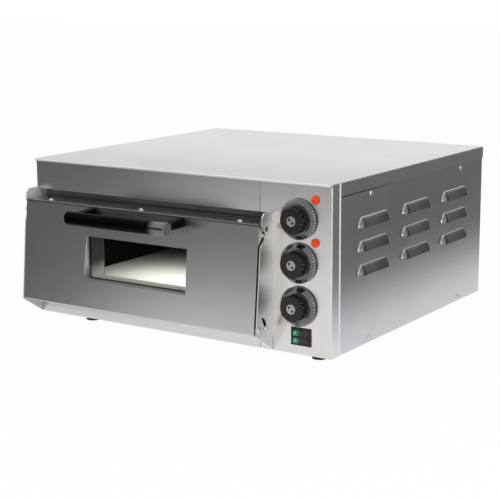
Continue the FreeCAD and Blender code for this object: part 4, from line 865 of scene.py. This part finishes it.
def screw_growth(axis):
    """A tree that sets a screw on every point and turns it at random round its axis."""
    growth = Growth("screws", Pattern=pattern_screw, Seed=SCREW_SEED, Finish=bright_steel)
    pattern = growth.node(
        "GeometryNodeObjectInfo", {}, {"Object": growth.inputs.other("Pattern")}, "Geometry"
    )
    seats = growth.node("GeometryNodeMeshToPoints", {}, {"Mesh": growth.inputs})
    spin = growth.node(
        "FunctionNodeRandomValue", {"data_type": "FLOAT"},
        {2: 0.0, 3: 2 * math.pi, "Seed": growth.inputs.other("Seed")}, 1,
    )
    facing = growth.node("FunctionNodeAlignRotationToVector", {"axis": "Z"}, {"Vector": axis})
    own_turn = growth.node("FunctionNodeAxisAngleToRotation", {}, {"Axis": ALONG_Z, "Angle": spin})
    turn = growth.node(
        "FunctionNodeRotateRotation", {"rotation_space": "LOCAL"}, {"Rotation": facing, "Rotate By": own_turn}
    )
    copies = growth.node(
        "GeometryNodeInstanceOnPoints", {}, {"Points": seats, "Instance": pattern, "Rotation": turn}
    )
    growth.finish(copies, growth.inputs.other("Finish"))
    return growth


def place_screws(name, axis, points, body):
    piece = screw_growth(axis).grow(name, points_mesh(name, points), body)
    return piece


right_seats = [(SIDE_X, y, z) for y in SIDE_Y for z in SEAT_Z]
left_seats = [(-SIDE_X, y, z) for y in SIDE_Y for z in SEAT_Z]
rear_seats = [(x, REAR_Y, z) for x in REAR_X for z in SEAT_Z]
door_seats = [(x, DOOR_Y, DOOR_Z) for x in DOOR_X]
right_screws = place_screws("right_screws", ALONG_X, right_seats, "oven")
left_screws = place_screws("left_screws", AGAINST_X, left_seats, "oven")
rear_screws = place_screws("rear_screws", ALONG_Y, rear_seats, "oven")
door_screws = place_screws("top_door_screws", ALONG_Z, door_seats, "door")
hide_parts("casing_screws")
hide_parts("casing_screws")
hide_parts("casing_screws")
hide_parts("door_screws")
bpy.data.objects.remove(pattern_screw)
print("screws:", len(right_seats + left_seats + rear_seats + door_seats))

# %% [markdown]
# ## Dial marks
# Each knob has a sloping skirt printed with a scale. The ticks are one small bar, set on the slope and copied
# round the knob's axis. The numbers are text, made into a mesh and laid on the same slope: the oven's two
# heat knobs go to 350 and the timer to 60.

# %% Ticks on the knob skirts
SKIRT_OUTER = Vector((0.03, -0.22475))
SKIRT_INNER = Vector((0.024, -0.23025))
DIAL_SWEEP = math.radians(300)
PRINT_LIFT = 0.00008
TICK_WIDTH = 0.0007
TICK_SHARES = (0.05, 0.32)

print_paint = Finish("dial_print", Roughness=0.5)
worn = print_paint.noise(800.0, detail=2.0)
print_paint.set(Base_Color=print_paint.mix(worn, shade(0.62, 0.63, 0.63), shade(0.85, 0.85, 0.84)))
slope = SKIRT_INNER - SKIRT_OUTER
slope_angle = math.atan2(-slope.y, -slope.x)


def on_skirt(share):
    """A point above the knob's axis on the skirt, as (radius, y), a little proud of it."""
    outward = Vector((-slope.y, slope.x)).normalized()
    if outward.x < 0:
        outward.negate()
    return SKIRT_OUTER + slope * share + outward * PRINT_LIFT


def tick_mesh():
    start, end = [on_skirt(share) for share in TICK_SHARES]
    half_width = TICK_WIDTH / 2
    corners = [
        (-half_width, start.y, start.x),
        (half_width, start.y, start.x),
        (half_width, end.y, end.x),
        (-half_width, end.y, end.x),
    ]
    mesh = bpy.data.meshes.new("tick")
    mesh.from_pydata(corners, [], [(0, 1, 2, 3)])
    return mesh


def tick_growth(pattern, count):
    """Copies of one tick turned round the knob's axis in equal steps."""
    step = DIAL_SWEEP / (count - 1)
    growth = Growth("ticks", Pattern=pattern, Count=count, Step=step, Finish=print_paint.material)
    shape = growth.node(
        "GeometryNodeObjectInfo", {}, {"Object": growth.inputs.other("Pattern")}, "Geometry"
    )
    line = growth.node(
        "GeometryNodeMeshLine", {}, {"Count": growth.inputs.other("Count"), "Offset": (0, 0, 0)}
    )
    index = growth.node("GeometryNodeInputIndex", {}, {})
    turn = growth.node(
        "FunctionNodeAxisAngleToRotation", {},
        {"Axis": AGAINST_Y, "Angle": index * growth.inputs.other("Step")},
    )
    copies = growth.node(
        "GeometryNodeInstanceOnPoints", {}, {"Points": line, "Instance": shape, "Rotation": turn}
    )
    growth.finish(copies, growth.inputs.other("Finish"))
    return growth


print("tick from", on_skirt(TICK_SHARES[0]), "to", on_skirt(TICK_SHARES[1]))

# %% Numbers on the same slope
NUMBER_FOOT_SHARE = 0.93
NUMBER_SIZE = 0.0054
NUMBER_CURVE_STEPS = 3


def number_mesh(text, angle):
    """A number as a flat mesh that lies on the skirt, turned round the knob's axis."""
    curve = bpy.data.curves.new(text, "FONT")
    curve.body = text
    curve.size = NUMBER_SIZE
    curve.align_x = "CENTER"
    curve.resolution_u = NUMBER_CURVE_STEPS
    holder = put_in_scene(text, curve)
    mesh = evaluated_mesh(holder)
    bpy.data.objects.remove(holder)
    base = on_skirt(NUMBER_FOOT_SHARE)
    lean = Matrix.Rotation(math.pi - slope_angle, 4, "X")
    mesh.transform(Matrix.Translation((0, base.y, base.x)) @ lean)
    mesh.transform(Matrix.Rotation(-angle, 4, "Y"))
    return mesh


def join_meshes(name, meshes):
    shape = bmesh.new()
    for mesh in meshes:
        shape.from_mesh(mesh)
    return plain_mesh(name, shape)


print("number size:", NUMBER_SIZE)

# %% Three marked dials
DIAL_X = 0.225
DIAL_HEIGHTS = {"upper": 0.2235, "lower": 0.159, "timer": 0.0945}
SCALES = {"upper": (350, 50, 5), "lower": (350, 50, 5), "timer": (60, 10, 5)}


def dial_marks(label, height):
    """A dial's scale is its highest number, the step between numbers and the ticks in a step."""
    top, step, step_ticks = SCALES[label]
    body = f"{label}_control"
    centre = Matrix.Translation((DIAL_X, 0, height))
    pattern = put_in_scene("tick", tick_mesh())
    ticks = tick_growth(pattern, top // step * step_ticks + 1).grow(
        f"{label}_dial_ticks", points_mesh("centre", [(0, 0, 0)]), body
    )
    ticks.data.transform(centre)
    bpy.data.objects.remove(pattern)
    values = range(0, top + step, step)
    turns = [DIAL_SWEEP * value / top for value in values]
    numbers = join_meshes(
        f"{label}_dial_numbers", [number_mesh(str(value), turn) for value, turn in zip(values, turns)]
    )
    numbers.transform(centre)
    numbers.materials.append(print_paint.material)
    piece = put_in_scene(f"{label}_dial_numbers", numbers)
    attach(piece, body)


for label, height in DIAL_HEIGHTS.items():
    dial_marks(label, height)
print("dials marked:", len(DIAL_HEIGHTS))

# %% [markdown]
# ## Sealant round the window
# A thin black bead of heat-proof sealant lies in the corner between the window's sleeve and the glass. It is
# a rounded rectangle with a round section: the tree draws the path, rounds its corners and sweeps a circle.

# %% Sealant bead
BEAD_RADIUS = 0.0008
BEAD_CORNER = 0.003
BEAD_CORNER_STEPS = 6
BEAD_SIDES = 12
glass_low, glass_high = corners_of("outer_glass")
sealant_black = moulding("sealant_black", (0.008, 0.008, 0.008), 0.45, 0.3)


def bead_growth():
    size = glass_high - glass_low
    growth = Growth(
        "bead", Width=size.x - 2 * BEAD_RADIUS, Height=size.z - 2 * BEAD_RADIUS, Radius=BEAD_RADIUS,
        Corner=BEAD_CORNER, Finish=sealant_black,
    )
    path = growth.node(
        "GeometryNodeCurvePrimitiveQuadrilateral", {},
        {"Width": growth.inputs.other("Width"), "Height": growth.inputs.other("Height")},
    )
    rounded = growth.node(
        "GeometryNodeFilletCurve", {"mode": "POLY"},
        {"Curve": path, "Count": BEAD_CORNER_STEPS, "Radius": growth.inputs.other("Corner")},
    )
    section = growth.node(
        "GeometryNodeCurvePrimitiveCircle", {},
        {"Resolution": BEAD_SIDES, "Radius": growth.inputs.other("Radius")},
    )
    tube = growth.node("GeometryNodeCurveToMesh", {}, {"Curve": rounded, "Profile Curve": section})
    growth.finish(tube, growth.inputs.other("Finish"))
    return growth


bead = bead_growth().grow("window_sealant", points_mesh("bead_start", [(0, 0, 0)]), "door")
bead_place = (glass_low + glass_high) / 2
bead_place.y = glass_low.y - BEAD_RADIUS / 2
bead.data.transform(Matrix.Translation(bead_place) @ Matrix.Rotation(math.pi / 2, 4, "X"))
print("sealant faces:", len(bead.data.polygons))

# %% [markdown]
# ## Rolled edges
# The cover's front edge is rolled over so that no hand meets a sharp sheet, and the casing's front corner
# ends in a thin bead beside the side panel. Both are round rods that catch a line of light, and their pale
# steel adds a painted highlight. A tree draws a straight path between two points and sweeps a circle along
# it.

# %% Hem and corner bead
HEM_RADIUS = 0.0023
HEM_DROP = 0.0024
HEM_BACK = 0.0011
BEAD_ROD_RADIUS = 0.0015
ROD_SIDES = 16
CORNER_SEAM = (0.2797, -0.1984)
CORNER_FOOT = 0.026
CORNER_HEAD = 0.2768
# The hem and the bead are a pale, half-matte steel, so their bright line is a painted highlight as well as a
# reflection.
hem_steel = steel("hem_steel", (0.93, 0.93, 0.925), 0.35, "x", metal=0.4)


def rod_growth(start, end, radius):
    growth = Growth("rod", Radius=radius, Finish=hem_steel)
    path = growth.node("GeometryNodeCurvePrimitiveLine", {}, {"Start": start, "End": end})
    section = growth.node(
        "GeometryNodeCurvePrimitiveCircle", {},
        {"Resolution": ROD_SIDES, "Radius": growth.inputs.other("Radius")},
    )
    rod = growth.node(
        "GeometryNodeCurveToMesh", {}, {"Curve": path, "Profile Curve": section, "Fill Caps": True}
    )
    growth.finish(rod, growth.inputs.other("Finish"))
    return growth


def place_rod(name, start, end, radius):
    piece = rod_growth(start, end, radius).grow(name, points_mesh(name, [(0, 0, 0)]), "oven")


cover_low, cover_high = corners_of("top_cover")
hem_line = (cover_low.y + HEM_BACK, cover_high.z - HEM_DROP)
hem_start = (cover_low.x + HEM_RADIUS, *hem_line)
hem_end = (cover_high.x - HEM_RADIUS, *hem_line)
place_rod("cover_hem", hem_start, hem_end, HEM_RADIUS)
place_rod("corner_bead", (*CORNER_SEAM, CORNER_FOOT), (*CORNER_SEAM, CORNER_HEAD), BEAD_ROD_RADIUS)
print("cover from", cover_low, "to", cover_high)

# %% [markdown]
# ## Jewel lenses
# The two lamps on the panel have faceted lenses, which catch the light like cut glass. A smooth dome would
# look dull. Here the rings of a lathe are turned by half a step from one to the next and joined by triangles,
# so every facet is flat, and behind the flange a plain stem goes through the panel.

# %% Rings and facets
LENS_FACETS = 10


def lens_ring(shape, centre, radius, y, shift=0.0):
    """Points on a circle round the lens's axis."""
    angles = [2 * math.pi * step / LENS_FACETS + shift for step in range(LENS_FACETS)]
    return [
        shape.verts.new((centre.x + radius * math.cos(angle), y, centre.z + radius * math.sin(angle)))
        for angle in angles
    ]


def facet_band(shape, near, far, far_is_shifted):
    """Triangles between two rings that are half a step apart."""
    for step in range(LENS_FACETS):
        after = (step + 1) % LENS_FACETS
        if far_is_shifted:
            shape.faces.new((near[step], near[after], far[step]))
            shape.faces.new((near[after], far[after], far[step]))
        else:
            shape.faces.new((near[step], near[after], far[after]))
            shape.faces.new((near[step], far[after], far[step]))


def plain_band(shape, near, far):
    """Four-sided faces between two rings."""
    for step in range(LENS_FACETS):
        after = (step + 1) % LENS_FACETS
        shape.faces.new((near[step], near[after], far[after], far[step]))


print("facets in a ring:", LENS_FACETS)

# %% Two lenses
LENS_SHARES = [(1.0, 0.12), (0.98, 0.3), (0.72, 0.72), (0.36, 0.97)]
STEM_SHARE = 0.7
PANEL_FACE = -0.22075


def lens_mesh(name, low, high):
    """A faceted dome that faces -Y, with its stem behind it."""
    centre = (low + high) / 2
    radius = (high.x - low.x) / 2
    reach = PANEL_FACE - low.y
    shape = bmesh.new()
    rings = []
    for number, (across, out) in enumerate(LENS_SHARES):
        shift = math.pi / LENS_FACETS * (number % 2)
        rings.append(lens_ring(shape, centre, radius * across, PANEL_FACE - reach * out, shift))
    for number, (near, far) in enumerate(zip(rings, rings[1:])):
        facet_band(shape, near, far, number % 2 == 0)
    shape.faces.new(rings[-1])
    base = lens_ring(shape, centre, radius, PANEL_FACE)
    stem = lens_ring(shape, centre, radius * STEM_SHARE, high.y)
    inner = lens_ring(shape, centre, radius * STEM_SHARE, PANEL_FACE)
    for near, far in ((base, rings[0]), (base, inner), (inner, stem)):
        plain_band(shape, near, far)
    shape.faces.new(stem)
    bmesh.ops.recalc_face_normals(shape, faces=shape.faces)
    mesh = plain_mesh(name, shape)
    mesh.materials.append(red_lens)
    return mesh


for label in ("upper", "lower"):
    low, high = corners_of(f"{label}_indicator")
    lens = put_in_scene(f"{label}_lens", lens_mesh(f"{label}_lens", low, high))
    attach(lens, "oven")
    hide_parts(f"{label}_indicator")
print("lenses: 2, facets each:", len(lens.data.polygons))

# %% [markdown]
# ## Floor, light and flags
# The oven stands on a plain pale floor in even light. Polished sheet shows whatever stands round it, so
# photographers place dark cards, called flags, just outside the picture to give it depth. Here four flags lie
# round the oven and two stand where the door and the side panel look. Only reflections can see them.

# %% World and floor
CAMERA_WHITE = 1.0
SOFT_WORLD = 0.5
FLOOR_GLOW_SHARE = 0.97
FLOOR_HALF = 12.0


def seen_directly(nodes):
    """1 for camera, mirror and glass rays, 0 for the soft light that falls on the oven."""
    path = nodes.node("ShaderNodeLightPath", {}, {}, "Is Camera Ray")
    total = path + path.other("Is Glossy Ray") + path.other("Is Transmission Ray")
    return nodes.node("ShaderNodeMath", {"operation": "MINIMUM"}, {0: total, 1: 1.0})


world = bpy.data.worlds.new("studio")
world.use_nodes = True
scene.world = world
sky = Nodes(world.node_tree)
background = world.node_tree.nodes["Background"]
background.inputs["Color"].default_value = shade(1, 1, 1)
strength = SOFT_WORLD + seen_directly(sky) * (CAMERA_WHITE - SOFT_WORLD)
world.node_tree.links.new(strength.socket, background.inputs["Strength"])


def flat_card(name, corners, material):
    mesh = bpy.data.meshes.new(name)
    mesh.from_pydata(corners, [], [range(len(corners))])
    mesh.materials.append(material)
    card = put_in_scene(name, mesh)
    return card


def level_corners(left, right, front, rear, height):
    """The corners of a card that lies level."""
    return [(left, front, height), (right, front, height), (right, rear, height), (left, rear, height)]


floor_finish = Finish("floor_paint", Base_Color=shade(0.9, 0.9, 0.9), Roughness=0.8)
glow = floor_finish.node("ShaderNodeEmission", {}, {"Color": shade(1, 1, 1), "Strength": CAMERA_WHITE})
painted = Value(floor_finish, floor_finish.shader.outputs[0])
floor_mix = floor_finish.node(
    "ShaderNodeMixShader", {}, {0: seen_directly(floor_finish) * FLOOR_GLOW_SHARE, 1: painted, 2: glow}
)
floor_output = floor_finish.tree.nodes["Material Output"]
floor_finish.tree.links.new(floor_mix.socket, floor_output.inputs["Surface"])
floor_corners = level_corners(-FLOOR_HALF, FLOOR_HALF, -FLOOR_HALF, FLOOR_HALF, 0)
flat_card("floor", floor_corners, floor_finish.material)
print("floor and world ready")

# %% Flags that only reflections see
FLAG_LIFT = 0.003
FRONT_SLANT = (0.835, -0.55, 0)


def flag(name, corners, *fades):
    """A card whose grey is a product of fades, each (direction, start, end, start_grey, end_grey)."""
    finish = Finish(name, Base_Color=shade(0, 0, 0), Specular_IOR_Level=0.0, Emission_Strength=1.0)
    grey = 1.0
    for direction, start, end, start_grey, end_grey in fades:
        share = finish.fade(finish.along(direction), start, end)
        grey = grey * (start_grey + share * (end_grey - start_grey))
    finish.set(Emission_Color=finish.mix(grey, shade(0, 0, 0), shade(1, 1, 1)))
    card = flat_card(name, corners, finish.material)
    card.visible_camera = False
    card.visible_diffuse = False
    card.visible_transmission = False
    card.visible_shadow = False


def on_floor(left, right, front, rear):
    return level_corners(left, right, front, rear, FLAG_LIFT)


def standing(start, end, height):
    """The corners of a card that stands on a line on the floor."""
    return [(*start, 0), (*end, 0), (*end, height), (*start, height)]


flag(
    "front_flag", on_floor(-5.0, 3.0, -4.5, -0.33),
    (FRONT_SLANT, -0.14, 0.2, 0.22, 1.0), (ALONG_Y, -2.3, -0.6, 0.2, 1.0),
)
flag("side_flag", on_floor(0.31, 3.2, -0.1, 3.2), (ALONG_X, 0.31, 0.61, 0.97, 0.18))
flag("back_flag", standing((0.8, 2.66), (2.98, 1.22), 2.2), (ALONG_Z, 1.1, 2.2, 0.22, 0.95))
flag("door_flag", standing((-3.9, -1.26), (0.3, -3.98), 1.6), (ALONG_Z, 0.7, 1.6, 0.15, 0.95))
flag("left_flag", on_floor(-3.2, -0.31, -0.2, 3.2), (ALONG_X, -0.31, -0.9, 0.97, 0.3))
flag("rear_flag", on_floor(-0.3, 0.3, 0.33, 3.2), (ALONG_Y, 0.33, 0.95, 0.97, 0.3))
print("flags: 6")

# %% [markdown]
# ## Lamps
# Two large softboxes give even light, and a small low lamp adds sparks on bent edges and screw heads. One
# more light stands for the lamp in the chamber, so that the stone shows through the window. Polished sheet
# would mirror a softbox as a hard white square, so all but the small lamp are hidden from reflections.

# %% Softboxes
def softbox(name, place, aim, side, power):
    lamp = bpy.data.lights.new(name, "AREA")
    lamp.shape = "SQUARE"
    lamp.size = side
    lamp.energy = power
    holder = put_in_scene(name, lamp)
    turn = (Vector(aim) - Vector(place)).to_track_quat("-Z", "Y").to_matrix()
    holder.matrix_world = Matrix.Translation(place) @ turn.to_4x4()
    holder.visible_camera = False
    holder.visible_glossy = False
    return holder


softbox("overhead_softbox", place=(0.1, -0.2, 2.0), aim=(0, 0, 0.1), side=1.6, power=14)
softbox("key_softbox", place=(1.7, -1.2, 1.7), aim=(0.1, -0.2, 0.15), side=0.9, power=7)
spark_lamp = softbox("spark_lamp", place=(1.3, -1.3, 0.24), aim=(0.05, -0.25, 0.15), side=0.12, power=1.6)
spark_lamp.visible_glossy = True
print("softboxes: 3")

# %% Chamber lamp
CHAMBER_LIGHT_PLACE = (-0.02, -0.115, 0.182)
CHAMBER_LIGHT_AIM = (-0.02, -0.14, 0.077)
CHAMBER_LIGHT_DEPTH = 0.11
CHAMBER_LIGHT_SPREAD = math.radians(160)
chamber_light = softbox("chamber_light", CHAMBER_LIGHT_PLACE, CHAMBER_LIGHT_AIM, side=0.3, power=0.68)
chamber_light.data.shape = "RECTANGLE"
chamber_light.data.size_y = CHAMBER_LIGHT_DEPTH
chamber_light.data.spread = CHAMBER_LIGHT_SPREAD
chamber_light.data.color = (0.97, 1.0, 0.95)
print("chamber light at", CHAMBER_LIGHT_PLACE)

# %% [markdown]
# ## Colour view
# The Standard view keeps colours as they are written.

# %% Colour view
scene.view_settings.view_transform = "Standard"
